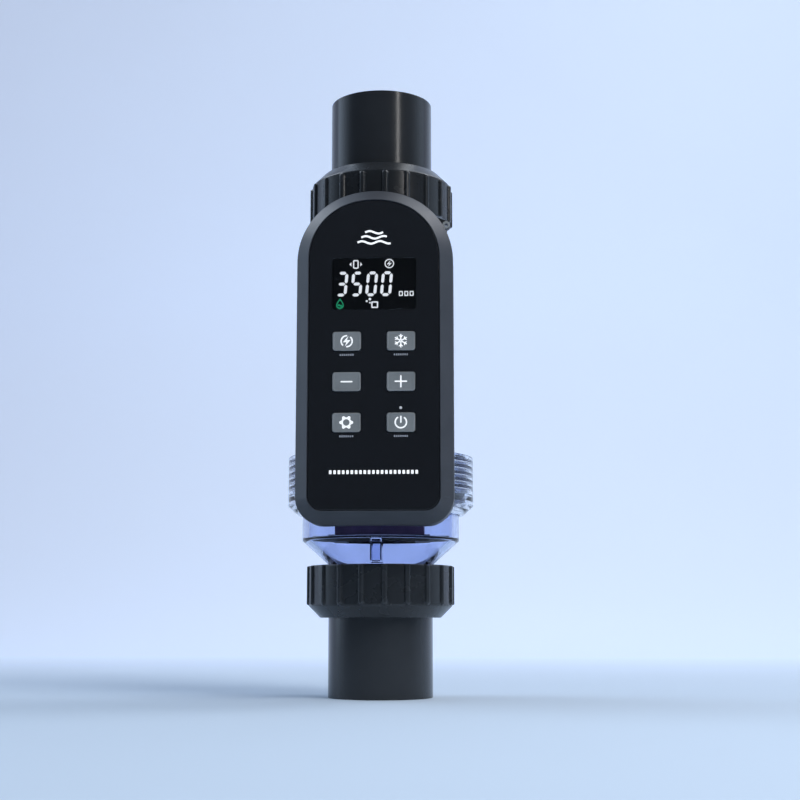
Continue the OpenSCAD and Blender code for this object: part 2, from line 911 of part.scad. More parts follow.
module gland_insert() {
    color([0.09, 0.09, 0.095])
        difference() {
            rod_y(gland_x, gland_z, sleeve_r, case_back_y, sleeve_y1);
            rod_y(gland_x, gland_z, cable_r, case_back_y - 1, 0);
        }
}

module gland_nut() {
    color([0.05, 0.055, 0.065])
        difference() {
            union() {
                slab(case_back_y + gland_hex_height + 0.1, case_back_y + gland_hex_height + 5.1)
                    translate([gland_x, gland_z])
                        circle(gland_hex_r, $fn = 6);
                rod_y(gland_x, gland_z, gland_hex_r - 1.1, sleeve_y1 - 1, sleeve_y1 + 2.6);
            }
            rod_y(gland_x, gland_z, gland_r + 0.05, case_back_y - 1, sleeve_y1 + 0.1);
            rod_y(gland_x, gland_z, sleeve_r - 0.55, sleeve_y1, 0);
        }
}

// ---------- the nodes ----------

lower_tailpiece();
lower_union_nut();
lower_union_seal();
upper_tailpiece();
upper_union_nut();
upper_union_seal();
lower_housing();
upper_housing();
lock_ring();
housing_seal();
lower_plate_comb();
upper_plate_comb();
anode_strap();
cathode_strap();
terminal_posts();
terminal_seals();
terminal_nuts();
terminal_leads();
paddle_bracket();
paddle_pin();
flow_paddle();
paddle_magnet();
reed_sensor();
front_shell();
back_shell();
shell_gasket();
pad_gasket();
front_panel();
display_window();
display_module();
status_light();
control_board();
key_switches();
relays();
capacitors();
heat_sink();
buzzer();
terminal_block();
board_screws();
shell_screws();
pad_screws();
gland_body();
gland_insert();
gland_nut();
for (i = [0:len(key_names) - 1])
    key(key_places[i]);
for (i = [0:plate_count - 1])
    electrode_plate(i);
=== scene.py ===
"""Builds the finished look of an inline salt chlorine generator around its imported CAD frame.

It is laid out as an add-on and run as a script: settings, one operator for each piece or group
of like pieces, a sidebar panel, and a main function that calls the operators in order.
Everything is in metres, in the CAD model's own frame: +Z runs up the flow axis, and the
controller faces -Y.
"""
import json
import math

import bmesh
import bpy
import numpy as np
from bpy.props import FloatProperty, FloatVectorProperty, IntProperty, PointerProperty
from bpy.types import Operator, Panel, PropertyGroup
from mathutils import Matrix, Vector


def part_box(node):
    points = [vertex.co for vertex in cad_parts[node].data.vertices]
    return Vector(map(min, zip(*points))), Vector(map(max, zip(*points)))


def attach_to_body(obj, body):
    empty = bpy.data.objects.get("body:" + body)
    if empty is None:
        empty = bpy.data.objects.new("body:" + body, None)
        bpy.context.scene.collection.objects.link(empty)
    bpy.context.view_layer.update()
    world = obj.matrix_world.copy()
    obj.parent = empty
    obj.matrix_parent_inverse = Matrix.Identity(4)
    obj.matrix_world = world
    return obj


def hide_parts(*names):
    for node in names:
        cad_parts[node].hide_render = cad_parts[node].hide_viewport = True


bl_info = {
    "name": "Salt Chlorine Generator",
    "version": (1, 0, 0),
    "blender": (4, 5, 0),
    "location": "View3D > Sidebar > Salt Cell",
    "description": "Builds the unions, clear flow cell and keypad controller of a salt chlorine generator",
    "category": "Object",
}

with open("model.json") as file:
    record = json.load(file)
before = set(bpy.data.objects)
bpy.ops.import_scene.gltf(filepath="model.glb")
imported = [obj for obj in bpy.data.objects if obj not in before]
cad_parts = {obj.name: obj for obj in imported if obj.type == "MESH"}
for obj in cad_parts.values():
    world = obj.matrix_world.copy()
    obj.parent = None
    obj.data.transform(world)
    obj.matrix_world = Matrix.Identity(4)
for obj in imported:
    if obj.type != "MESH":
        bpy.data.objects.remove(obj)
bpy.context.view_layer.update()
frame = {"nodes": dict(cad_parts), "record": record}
RECORD = frame["record"]
MM = 0.001
SAME_PLACE = 1e-6
CELL = "cell"

# Which slot each CAD node takes its finish from, and each mount's sizes
NODE_SLOT = {part["node"]: part["material_slot"] for part in RECORD["subparts"]}
MOUNTS = {mount["name"]: mount for mount in RECORD["mounts"]}
KEYS = ("boost", "winter", "minus", "plus", "settings", "power")
PLATES = [f"electrode_plate_{number}" for number in range(1, 8)]

# The unions
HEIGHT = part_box("upper_tailpiece")[1].z
SPIGOT_R = 31.5 * MM
SOCKET_R = MOUNTS["lower_pipe_socket"]["dims"]["r_mm"] * MM
SOCKET_DEPTH = MOUNTS["lower_pipe_socket"]["dims"]["length_mm"] * MM
STOP_R = SOCKET_R - 2 * MM
FLANGE_R, FLANGE_Z1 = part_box("lower_tailpiece")[1].x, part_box("lower_tailpiece")[1].z
FLANGE_Z0 = FLANGE_Z1 - 5.6 * MM
NUT_Z0, NUT_Z1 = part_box("lower_union_nut")[0].z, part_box("lower_union_nut")[1].z
NUT_ROOT_R = 43.4 * MM
NUT_CHAMFER = 7 * MM
GROOVE_ROOT_R, GROOVE_CREST_R = 37.9 * MM, 36.6 * MM
RIDGE_ROOT_R, RIDGE_CREST_R = 36 * MM, 37.4 * MM
NECK_R = 31 * MM
NECK_Z0 = FLANGE_Z1 + 0.4 * MM
NECK_Z1 = NUT_Z1 - 1.9 * MM
NECK_RIDGES = 4

# The clear housings and the lock ring
CHAMBER_R = 47.6 * MM
CHAMBER_INNER_R = CHAMBER_R - 4 * MM
CONE_Z0 = NUT_Z1 + 0.1 * MM
CONE_Z1 = CONE_Z0 + 14.8 * MM
RING_LOW, RING_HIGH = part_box("lock_ring")
RING_R = RING_HIGH.x
COLLAR_Z0 = RING_LOW.z + 4.3 * MM
COLLAR_Z1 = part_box("lower_housing")[1].z
COLLAR_R = 52 * MM
SEAL_LOW, SEAL_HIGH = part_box("housing_seal")
SKIRT_ROOT_R, SKIRT_CREST_R, SKIRT_INNER_R = 52.1 * MM, 53.5 * MM, 46 * MM
SKIRT_RIDGES = 5
TUBE_R, TUBE_INNER_R = 40 * MM, 36.4 * MM
TUBE_Z1 = 270 * MM
GUSSET_HALF = 3.3 * MM

# The controller
CASE_LOW, CASE_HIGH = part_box("front_shell")
BEZEL_Y, SPLIT_Y = CASE_LOW.y, CASE_HIGH.y
LUG_X, LUG_Z, LUG_HOLE_R = 41.5 * MM, 275.2 * MM, 0.95 * MM
RIM_Y = BEZEL_Y + 9 * MM
CASE_WALL = 2.5 * MM
BEZEL_WIDTH = 7.8 * MM
CORNER_R, SHOULDER_R, CROWN_R = 16.5 * MM, 42 * MM, 54 * MM
PANEL_LOW, PANEL_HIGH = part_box("front_panel")
PANEL_Y, PANEL_BACK_Y = PANEL_LOW.y, PANEL_HIGH.y
PANEL_INSET = CASE_HIGH.x - PANEL_HIGH.x
WINDOW_LOW, WINDOW_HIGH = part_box("display_window")
DISPLAY_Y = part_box("display_module")[0].y
KEY_FLANGE = 1.1 * MM
KEY_GAP = 0.35 * MM
INK_PROUD = 0.04 * MM
SCREW_SEGMENTS = 32

# The camera: focal length in millimetres, place, and turn in degrees
CAMERA_LENS = 65.43
CAMERA_PLACE = (0.0546, -0.8868, 0.0471)
CAMERA_TURN = (98.53, 0, 2.77)

# ---------------------------------------------------------------- settings


def length_setting(name, text, default):
    return FloatProperty(name=name, description=text, default=default, unit="LENGTH")


def colour_setting(name, text, default):
    return FloatVectorProperty(name=name, description=text, default=default, subtype="COLOR")


def power_setting(name, text, default):
    return FloatProperty(name=name, description=text, default=default, unit="POWER")


class UnionSettings(PropertyGroup):
    """Sizes and colours of the two screwed unions"""

    rib_count: IntProperty(
        name="Grip ribs", description="Number of grip ribs round each nut", default=20, min=8, max=30
    )
    rib_height: length_setting("Rib height", "How far a grip rib stands out", 1.3 * MM)
    rib_width: length_setting("Rib width", "Width of a grip rib on its flat", 2.4 * MM)
    rib_edge: length_setting("Rib edge", "Width of the slope at a rib's side", 0.65 * MM)
    rib_phase: FloatProperty(
        name="Rib phase", description="Turn of the first rib, in rib spacings", default=0.35
    )
    pipe_colour: colour_setting("Pipe end colour", "Colour of the pipe ends", (0.019, 0.0215, 0.025))
    nut_colour: colour_setting("Nut colour", "Colour of the union nuts", (0.0135, 0.0155, 0.018))


class CellSettings(PropertyGroup):
    """Finish of the clear flow cell"""

    thread_pitch: length_setting("Thread pitch", "Distance between thread ridges", 4 * MM)
    blue_tint: colour_setting("Housing tint", "Colour of the clear housings", (0.64, 0.7, 0.9))
    ring_tint: colour_setting("Ring tint", "Colour of the clear lock ring", (0.86, 0.9, 0.99))
    seal_cord: length_setting("Seal edge", "Rounding of the seals' edges", 1.4 * MM)


class ControllerSettings(PropertyGroup):
    """Colours of the controller and what its display says"""

    reading: IntProperty(name="Reading", description="Number on the display", default=3500, min=0, max=9999)
    digit_slant: FloatProperty(
        name="Digit slant", description="Lean of the display's digits",
        default=math.radians(5), subtype="ANGLE"
    )
    bezel_colour: colour_setting("Bezel colour", "Colour of the front shell", (0.027, 0.03, 0.038))
    case_colour: colour_setting("Case colour", "Colour of the back shell", (0.014, 0.016, 0.019))
    panel_colour: colour_setting("Panel colour", "Colour of the front panel", (0.0108, 0.012, 0.0148))
    key_colour: colour_setting("Key colour", "Colour of the key caps", (0.225, 0.24, 0.245))
    glow: FloatProperty(name="Glow", description="Brightness of the display's signs", default=1.6, min=0)


class StudioSettings(PropertyGroup):
    """The plain studio round the object"""

    backdrop_colour: colour_setting("Backdrop colour", "Colour of the floor and backdrop", (0.66, 0.78, 0.92))
    main_power: power_setting("Main light", "Power of the main light", 12)
    side_power: power_setting("Side light", "Power of the side lights", 2.3)
    strip_power: power_setting("Strip light", "Power of the thin light", 1.0)


# ---------------------------------------------------------------- meshes


def object_from(name, verts, faces):
    """A new mesh object at the origin"""
    mesh = bpy.data.meshes.new(name)
    mesh.from_pydata([tuple(v) for v in verts], [], [tuple(f) for f in faces])
    mesh.update()
    piece = bpy.data.objects.new(name, mesh)
    bpy.context.scene.collection.objects.link(piece)
    return piece


def fillet(corners, steps=5, closed=True):
    """Rounds an outline's corners, given as (x, y, radius); the ends of an open one stay"""
    points = []
    count = len(corners)
    for index, (x, y, radius) in enumerate(corners):
        end = not closed and index in (0, count - 1)
        if radius == 0 or end:
            points.append((x, y))
            continue
        here = Vector((x, y))
        back = (Vector(corners[index - 1][:2]) - here).normalized()
        ahead = (Vector(corners[(index + 1) % count][:2]) - here).normalized()
        half = back.angle(ahead) / 2
        centre = here + (back + ahead).normalized() * radius / math.sin(half)
        start = here + back * radius / math.tan(half) - centre
        turn = math.pi - 2 * half
        if back.x * ahead.y - back.y * ahead.x > 0:
            turn = -turn
        for step in range(steps + 1):
            angle = turn * step / steps
            points.append((
                centre.x + start.x * math.cos(angle) - start.y * math.sin(angle),
                centre.y + start.x * math.sin(angle) + start.y * math.cos(angle),
            ))
    return points


def lathe(name, profile, segments=192, place=None):
    """A closed solid turned round Z from a closed loop of (radius, height) points"""
    radius = np.array([point[0] for point in profile])
    height = np.array([point[1] for point in profile])
    count = len(profile)
    area = np.sum(radius * np.roll(height, -1) - np.roll(radius, -1) * height)
    angle = np.arange(segments) * 2 * math.pi / segments
    verts = np.empty((segments, count, 3))
    verts[..., 0] = np.cos(angle)[:, None] * radius
    verts[..., 1] = np.sin(angle)[:, None] * radius
    verts[..., 2] = height
    faces = []
    for turn in range(segments):
        here, there = turn * count, (turn + 1) % segments * count
        for point in range(count):
            ahead = (point + 1) % count
            face = (here + point, there + point, there + ahead, here + ahead)
            faces.append(face if area > 0 else face[::-1])
    piece = object_from(name, verts.reshape(-1, 3), faces)
    if radius.min() < 1e-7:
        merge(piece)
    if place is not None:
        piece.data.transform(place)
    return piece


def merge(piece):
    """Joins points that lie together and drops the faces that this empties"""
    work = bmesh.new()
    work.from_mesh(piece.data)
    bmesh.ops.remove_doubles(work, verts=work.verts, dist=SAME_PLACE)
    bmesh.ops.dissolve_degenerate(work, edges=work.edges, dist=SAME_PLACE)
    work.to_mesh(piece.data)
    work.free()


def loft(name, loops):
    """Skins a row of point loops that all have the same count, and caps both ends"""
    count = len(loops[0])
    verts = [point for loop in loops for point in loop]
    faces = []
    for row in range(len(loops) - 1):
        for point in range(count):
            ahead = (point + 1) % count
            faces.append((
                row * count + point, row * count + ahead, (row + 1) * count + ahead, (row + 1) * count + point
            ))
    faces.append(range(count)[::-1])
    faces.append(range((len(loops) - 1) * count, len(loops) * count))
    piece = object_from(name, verts, faces)
    work = bmesh.new()
    work.from_mesh(piece.data)
    bmesh.ops.recalc_face_normals(work, faces=work.faces)
    work.to_mesh(piece.data)
    work.free()
    return piece


def arc(centre_x, centre_z, radius, start, end, steps):
    return [
        (
            centre_x + radius * math.cos(math.radians(start + (end - start) * step / steps)),
            centre_z + radius * math.sin(math.radians(start + (end - start) * step / steps)),
        )
        for step in range(steps + 1)
    ]


def case_outline(grow):
    """The case's outline in X and Z: one arc on top, one at each shoulder and lower corner"""
    half, low, high = CASE_HIGH.x, CASE_LOW.z, CASE_HIGH.z
    crown_z = high - CROWN_R
    shoulder_x = half - SHOULDER_R
    rise = math.sqrt((CROWN_R - SHOULDER_R) ** 2 - shoulder_x**2)
    lean = math.degrees(math.atan2(rise, shoulder_x))
    right_low = arc(half - CORNER_R, low + CORNER_R, CORNER_R + grow, -90, 0, 24)
    right_high = arc(shoulder_x, crown_z + rise, SHOULDER_R + grow, 0, lean, 32)
    crown = arc(0, crown_z, CROWN_R + grow, lean, 180 - lean, 24)
    left_high = arc(-shoulder_x, crown_z + rise, SHOULDER_R + grow, 180 - lean, 180, 32)
    left_low = arc(CORNER_R - half, low + CORNER_R, CORNER_R + grow, 180, 270, 24)
    return right_low + right_high[1:] + crown[1:] + left_high[1:] + left_low[1:]


def rounded_rectangle(width, height, radius, steps=6):
    right, top = width / 2 - radius, height / 2 - radius
    return (
        arc(right, -top, radius, -90, 0, steps)
        + arc(right, top, radius, 0, 90, steps)
        + arc(-right, top, radius, 90, 180, steps)
        + arc(-right, -top, radius, 180, 270, steps)
    )


def pressing(name, outline, sections):
    """A solid skinned along Y: outline(grow) gives the loop, sections are (grow, y) steps"""
    loops = [[(x, y, z) for x, z in outline(grow)] for grow, y in sections]
    return loft(name, loops)


def slab(name, side, half):
    """A solid across the middle plane from an outline in Y and Z, half its width to each side"""
    return loft(name, [[(x, y, z) for y, z in side] for x in (-half, half)])


def middle_of(low, high):
    """The X and Z of a box's middle"""
    return (low.x + high.x) / 2, (low.z + high.z) / 2


def keyed_rectangle(middle, width, height, radius):
    """An outline function for a rounded rectangle round a centre"""
    def outline(grow):
        loop = rounded_rectangle(width + 2 * grow, height + 2 * grow, max(radius + grow, 0.1 * MM))
        return [(x + middle[0], z + middle[1]) for x, z in loop]
    return outline


def evaluated(piece):
    """Turns the piece and its modifiers into a plain mesh"""
    graph = bpy.context.evaluated_depsgraph_get()
    graph.update()
    mesh = bpy.data.meshes.new_from_object(piece.evaluated_get(graph), depsgraph=graph)
    piece.modifiers.clear()
    old = piece.data
    piece.data = mesh
    mesh.name = piece.name
    if old.users == 0:
        bpy.data.meshes.remove(old)
    return piece


def combine(piece, other, operation):
    """Joins or cuts a solid with another one, which is used up"""
    step = piece.modifiers.new("Combine", "BOOLEAN")
    step.operation = operation
    step.solver = "EXACT"
    step.object = other
    evaluated(piece)
    bpy.data.objects.remove(other)
    return piece


def dress(piece, round_by=0.0, sharp=38):
    """Rounds hard edges, keeps flats flat and shades the rest smooth"""
    for polygon in piece.data.polygons:
        polygon.use_smooth = True
    if round_by:
        rounding = piece.modifiers.new("Round", "BEVEL")
        rounding.width = round_by
        rounding.segments = 2
        rounding.limit_method = "ANGLE"
        rounding.angle_limit = math.radians(32)
        evaluated(piece)
        for polygon in piece.data.polygons:
            polygon.use_smooth = True
    piece.data.set_sharp_from_angle(angle=math.radians(sharp))
    flats = piece.modifiers.new("Flats", "WEIGHTED_NORMAL")
    flats.keep_sharp = True
    return evaluated(piece)


def refined(node, round_by):
    """A cleaned copy of a CAD node with rounded edges"""
    source = frame["nodes"][node]
    piece = bpy.data.objects.new(node + "_finished", source.data.copy())
    bpy.context.scene.collection.objects.link(piece)
    piece.data.materials.clear()
    work = bmesh.new()
    work.from_mesh(piece.data)
    bmesh.ops.remove_doubles(work, verts=work.verts, dist=SAME_PLACE)
    bmesh.ops.dissolve_limit(
        work, angle_limit=math.radians(0.5), verts=work.verts, edges=work.edges, delimit={"NORMAL"}
    )
    work.to_mesh(piece.data)
    work.free()
    return dress(piece, round_by)


def attach(piece, body, look):
    """Gives a finished piece its look, its body and its slot, which is named as the look by default"""
    piece.data.materials.clear()
    piece.data.materials.append(finish(look))
    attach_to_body(piece, body)


def settle(piece, body, node):
    """The same for a piece that stands for a CAD node, in that node's own slot"""
    attach(piece, body, NODE_SLOT[node])
    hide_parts(node)


def settle_refined(rounding, *nodes, body=CELL):
    for node in nodes:
        settle(refined(node, rounding), body, node)


def joined(name, pieces):
    """One mesh made of several"""
    verts, faces = [], []
    for piece in pieces:
        start = len(verts)
        verts += [vertex.co.copy() for vertex in piece.data.vertices]
        faces += [[start + index for index in polygon.vertices] for polygon in piece.data.polygons]
        bpy.data.objects.remove(piece)
    return object_from(name, verts, faces)


def along_y(x, y, z, towards=-1):
    """A matrix that lays a turned part's Z axis along Y and puts it at x, y, z"""
    return Matrix.Translation((x, y, z)) @ Matrix.Rotation(math.radians(-90 * towards), 4, "X")


# ---------------------------------------------------------------- geometry nodes


def new_tree(name, sockets):
    """A Geometry Nodes tree with a geometry in and out and named inputs (label, type, default)"""
    tree = bpy.data.node_groups.new(name, "GeometryNodeTree")
    tree.interface.new_socket("Geometry", in_out="INPUT", socket_type="NodeSocketGeometry")
    for label, kind, default in sockets:
        socket = tree.interface.new_socket(label, in_out="INPUT", socket_type=kind)
        if default is not None:
            socket.default_value = default
    tree.interface.new_socket("Geometry", in_out="OUTPUT", socket_type="NodeSocketGeometry")
    return tree, tree.nodes.new("NodeGroupInput"), tree.nodes.new("NodeGroupOutput")


def fill(tree, node, inputs):
    """Fills a node's inputs with links or values"""
    for label, value in inputs.items():
        if isinstance(value, bpy.types.NodeSocket):
            tree.links.new(value, node.inputs[label])
        else:
            node.inputs[label].default_value = value


def node_in(tree, kind, inputs=None, **settings):
    """Adds a node, sets its properties and fills its inputs"""
    node = tree.nodes.new(kind)
    for label, value in settings.items():
        setattr(node, label, value)
    fill(tree, node, inputs or {})
    return node


def maths(tree, operation, *values):
    """A Math node's result"""
    return node_in(tree, "ShaderNodeMath", dict(enumerate(values)), operation=operation).outputs[0]


def remap(tree, value, source, target, smooth=False):
    """A Map Range node's result, from one (low, high) pair to another"""
    ends = {"From Min": source[0], "From Max": source[1], "To Min": target[0], "To Max": target[1]}
    kind = "SMOOTHSTEP" if smooth else "LINEAR"
    return node_in(tree, "ShaderNodeMapRange", {"Value": value, **ends}, interpolation_type=kind).outputs[0]


def close_tree(tree, output, geometry, material):
    """Ends a tree in Realize Instances and Set Material"""
    real = node_in(tree, "GeometryNodeRealizeInstances", {"Geometry": geometry})
    coat = node_in(tree, "GeometryNodeSetMaterial", {"Geometry": real.outputs[0], "Material": material})
    tree.links.new(coat.outputs[0], output.inputs[0])


def run_tree(piece, tree, /, **values):
    """Runs a tree on the piece with its named inputs and keeps the result as a plain mesh"""
    step = piece.modifiers.new(tree.name, "NODES")
    step.node_group = tree
    wanted = {label.replace("_", " ").capitalize(): value for label, value in values.items()}
    for item in tree.interface.items_tree:
        if item.in_out == "INPUT" and item.name in wanted:
            step[item.identifier] = wanted.pop(item.name)
    if wanted:
        raise ValueError(f"{tree.name} has no inputs named {sorted(wanted)}")
    return evaluated(piece)


def grip_ribs_tree():
    """Raises round-ended grip ribs on the outside of a turned nut"""
    tree, given, output = new_tree("Grip ribs", [
        ("Ribs", "NodeSocketInt", 20),
        ("Phase", "NodeSocketFloat", 0.35),
        ("Rib height", "NodeSocketFloat", 1.3 * MM),
        ("Rib half", "NodeSocketFloat", 1.5 * MM),
        ("Rib edge", "NodeSocketFloat", 0.7 * MM),
        ("Root radius", "NodeSocketFloat", NUT_ROOT_R),
        ("Rib start", "NodeSocketFloat", 0.05),
        ("Finish", "NodeSocketMaterial", None),
    ])
    put = given.outputs
    place = node_in(tree, "GeometryNodeInputPosition")
    split = node_in(tree, "ShaderNodeSeparateXYZ", {0: place.outputs[0]})
    x, y, z = split.outputs
    squares = maths(tree, "ADD", maths(tree, "MULTIPLY", x, x), maths(tree, "MULTIPLY", y, y))
    radius = maths(tree, "SQRT", squares)
    turn = maths(tree, "DIVIDE", maths(tree, "ARCTAN2", y, x), 2 * math.pi)
    spaced = maths(tree, "SUBTRACT", maths(tree, "MULTIPLY", turn, put["Ribs"]), put["Phase"])
    offset = maths(tree, "SUBTRACT", maths(tree, "FRACT", maths(tree, "ADD", spaced, 0.5)), 0.5)
    reach = maths(tree, "DIVIDE", maths(tree, "MULTIPLY", radius, 2 * math.pi), put["Ribs"])
    aside = maths(tree, "MULTIPLY", offset, reach)
    below = maths(tree, "MAXIMUM", maths(tree, "SUBTRACT", put["Rib start"], z), 0.0)
    away = maths(tree, "SQRT", maths(
        tree, "ADD", maths(tree, "MULTIPLY", aside, aside), maths(tree, "MULTIPLY", below, below)
    ))
    edge = maths(tree, "DIVIDE", maths(tree, "SUBTRACT", away, put["Rib half"]), put["Rib edge"])
    crest = remap(tree, edge, (0.0, 1.0), (1.0, 0.0), smooth=True)
    inward = maths(tree, "SUBTRACT", put["Root radius"], radius)
    outside = remap(tree, inward, (0.9 * MM, 0.1 * MM), (0.0, 1.0), smooth=True)
    lift = maths(tree, "MULTIPLY", maths(tree, "MULTIPLY", crest, outside), put["Rib height"])
    share = maths(tree, "DIVIDE", lift, radius)
    shift = node_in(tree, "ShaderNodeCombineXYZ", {
        0: maths(tree, "MULTIPLY", x, share), 1: maths(tree, "MULTIPLY", y, share),
    })
    moved = node_in(tree, "GeometryNodeSetPosition", {
        "Geometry": put["Geometry"], "Offset": shift.outputs[0],
    })
    close_tree(tree, output, moved.outputs[0], put["Finish"])
    return tree


def set_out_tree():
    """Sets a piece on each of an object's points, turned by their turn attribute, then leans the lot"""
    tree, given, output = new_tree("Set out", [
        ("Piece", "NodeSocketObject", None),
        ("Lean", "NodeSocketFloat", 0.0),
        ("Lean level", "NodeSocketFloat", 0.0),
        ("Finish", "NodeSocketMaterial", None),
    ])
    put = given.outputs
    held = node_in(tree, "GeometryNodeObjectInfo", {"Object": put["Piece"]})
    turn = node_in(tree, "GeometryNodeInputNamedAttribute", {"Name": "turn"}, data_type="FLOAT")
    spin = node_in(tree, "ShaderNodeCombineXYZ", {1: turn.outputs["Attribute"]})
    points = node_in(tree, "GeometryNodeInstanceOnPoints", {
        "Points": put["Geometry"], "Instance": held.outputs["Geometry"], "Rotation": spin.outputs[0],
    })
    real = node_in(tree, "GeometryNodeRealizeInstances", {"Geometry": points.outputs[0]})
    split = node_in(tree, "ShaderNodeSeparateXYZ", {0: node_in(tree, "GeometryNodeInputPosition").outputs[0]})
    over = maths(tree, "SUBTRACT", split.outputs[2], put["Lean level"])
    shift = node_in(tree, "ShaderNodeCombineXYZ", {0: maths(tree, "MULTIPLY", over, put["Lean"])})
    leaned = node_in(tree, "GeometryNodeSetPosition", {
        "Geometry": real.outputs[0], "Offset": shift.outputs[0],
    })
    close_tree(tree, output, leaned.outputs[0], put["Finish"])
    return tree


def row_tree():
    """Sets a piece in an even row"""
    tree, given, output = new_tree("Row", [
        ("Piece", "NodeSocketObject", None),
        ("Count", "NodeSocketInt", 2),
        ("Start", "NodeSocketVector", (0, 0, 0)),
        ("Step", "NodeSocketVector", (0.01, 0, 0)),
        ("Finish", "NodeSocketMaterial", None),
    ])
    put = given.outputs
    held = node_in(tree, "GeometryNodeObjectInfo", {"Object": put["Piece"]})
    line = node_in(tree, "GeometryNodeMeshLine", {
        "Count": put["Count"], "Start Location": put["Start"], "Offset": put["Step"],
    })
    points = node_in(tree, "GeometryNodeInstanceOnPoints", {
        "Points": line.outputs[0], "Instance": held.outputs["Geometry"],
    })
    close_tree(tree, output, points.outputs[0], put["Finish"])
    return tree


def seal_ring_tree():
    """A moulded ring with a rounded rectangular section"""
    tree, given, output = new_tree("Seal ring", [
        ("Inner radius", "NodeSocketFloat", 0.02),
        ("Outer radius", "NodeSocketFloat", 0.03),
        ("Low level", "NodeSocketFloat", 0.0),
        ("High level", "NodeSocketFloat", 0.003),
        ("Rounding", "NodeSocketFloat", 0.001),
        ("Finish", "NodeSocketMaterial", None),
    ])
    put = given.outputs
    centre = maths(tree, "MULTIPLY", maths(tree, "ADD", put["Inner radius"], put["Outer radius"]), 0.5)
    level = maths(tree, "MULTIPLY", maths(tree, "ADD", put["Low level"], put["High level"]), 0.5)
    path = node_in(tree, "GeometryNodeCurvePrimitiveCircle", {"Resolution": 192, "Radius": centre})
    section = node_in(tree, "GeometryNodeCurvePrimitiveQuadrilateral", {
        "Width": maths(tree, "SUBTRACT", put["Outer radius"], put["Inner radius"]),
        "Height": maths(tree, "SUBTRACT", put["High level"], put["Low level"]),
    })
    soft = node_in(tree, "GeometryNodeFilletCurve", {
        "Curve": section.outputs[0], "Count": 6, "Radius": put["Rounding"],
    }, mode="POLY")
    swept = node_in(tree, "GeometryNodeCurveToMesh", {
        "Curve": path.outputs[0], "Profile Curve": soft.outputs[0],
    })
    up = node_in(tree, "ShaderNodeCombineXYZ", {2: level})
    raised = node_in(tree, "GeometryNodeTransform", {
        "Geometry": swept.outputs[0], "Translation": up.outputs[0],
    })
    smooth = node_in(tree, "GeometryNodeSetShadeSmooth", {"Geometry": raised.outputs[0]})
    close_tree(tree, output, smooth.outputs[0], put["Finish"])
    return tree


def places_object(places, turns=None):
    """A points-only object that carries where pieces go and how far each is turned"""
    holder = object_from("places", places, [])
    turn = holder.data.attributes.new("turn", "FLOAT", "POINT")
    turn.data.foreach_set("value", turns or [0.0] * len(places))
    return holder


def set_out(name, sample, places, look, turns=None, lean=0.0, lean_level=0.0):
    """Repeats a sample piece at each place; the sample is used up"""
    holder = places_object(places, turns)
    holder.name = name
    tree = bpy.data.node_groups.get("Set out") or set_out_tree()
    run_tree(holder, tree, piece=sample, lean=lean, lean_level=lean_level, finish=finish(look))
    bpy.data.objects.remove(sample)
    return holder


def row(name, sample, count, start, step, look):
    """Repeats a sample piece in an even row; the sample is used up"""
    holder = places_object([(0, 0, 0)])
    holder.name = name
    tree = bpy.data.node_groups.get("Row") or row_tree()
    run_tree(holder, tree, piece=sample, count=count, start=start, step=step, finish=finish(look))
    bpy.data.objects.remove(sample)
    return holder


def seal_ring(name, inner, low, high, rounding):
    """A rubber ring from its inner radius to the corners of its box, by the Seal ring tree"""
    holder = places_object([(0, 0, 0)])
    holder.name = name
    tree = bpy.data.node_groups.get("Seal ring") or seal_ring_tree()
    return run_tree(
        holder, tree, inner_radius=inner, outer_radius=high.x, low_level=low.z, high_level=high.z,
        rounding=rounding, finish=finish("seal_rubber")
    )


# ---------------------------------------------------------------- materials


def shader(name):
    """A new material with its Principled shader, tree and object coordinates"""
    material = bpy.data.materials.new(name)
    material.use_nodes = True
    tree = material.node_tree
    principled = tree.nodes["Principled BSDF"]
    coords = tree.nodes.new("ShaderNodeTexCoord").outputs["Object"]
    return material, tree, principled, coords


def noise(tree, coords, scale, stretch=(1, 1, 1), detail=3.0):
    """Noise of a size per metre, drawn out along the axes where stretch is small"""
    place = node_in(tree, "ShaderNodeMapping", {"Vector": coords, "Scale": stretch})
    return node_in(tree, "ShaderNodeTexNoise", {
        "Vector": place.outputs[0], "Scale": scale, "Detail": detail, "Roughness": 0.55,
    }).outputs["Fac"]


def spread(tree, value, low, high):
    """Maps noise from its usual range to low..high"""
    return remap(tree, value, (0.3, 0.7), (low, high))


def bump(tree, height, depth, strength=1.0):
    return node_in(tree, "ShaderNodeBump", {
        "Height": height, "Distance": depth, "Strength": strength,
    }).outputs[0]


def vary(tree, fac, colour, amount):
    """The colour, from darker to lighter by amount as fac runs from 0 to 1"""
    dark = [channel * (1 - amount) for channel in colour] + [1]
    light = [min(channel * (1 + amount), 1) for channel in colour] + [1]
    mix = node_in(tree, "ShaderNodeMix", {"Factor": spread(tree, fac, 0, 1)}, data_type="RGBA")
    mix.inputs[6].default_value = dark
    mix.inputs[7].default_value = light
    return mix.outputs[2]


def moulded(name, colour, rough, grain=2600, depth=0.006 * MM, stretch=(1, 1, 1), cloud=45, amount=0.08,
            metal=0.0, coat=0.0):
    """Moulded plastic, rubber or metal: fine surface grain, slow changes of colour and gloss"""
    material, tree, principled, coords = shader(name)
    slow = noise(tree, coords, cloud)
    fine = noise(tree, coords, grain, stretch, detail=2.0)
    fill(tree, principled, {
        "Base Color": vary(tree, slow, colour, amount),
        "Roughness": spread(tree, slow, rough * 0.9, rough * 1.12),
        "Normal": bump(tree, fine, depth),
        "Metallic": metal,
        "Coat Weight": coat,
    })
    return material


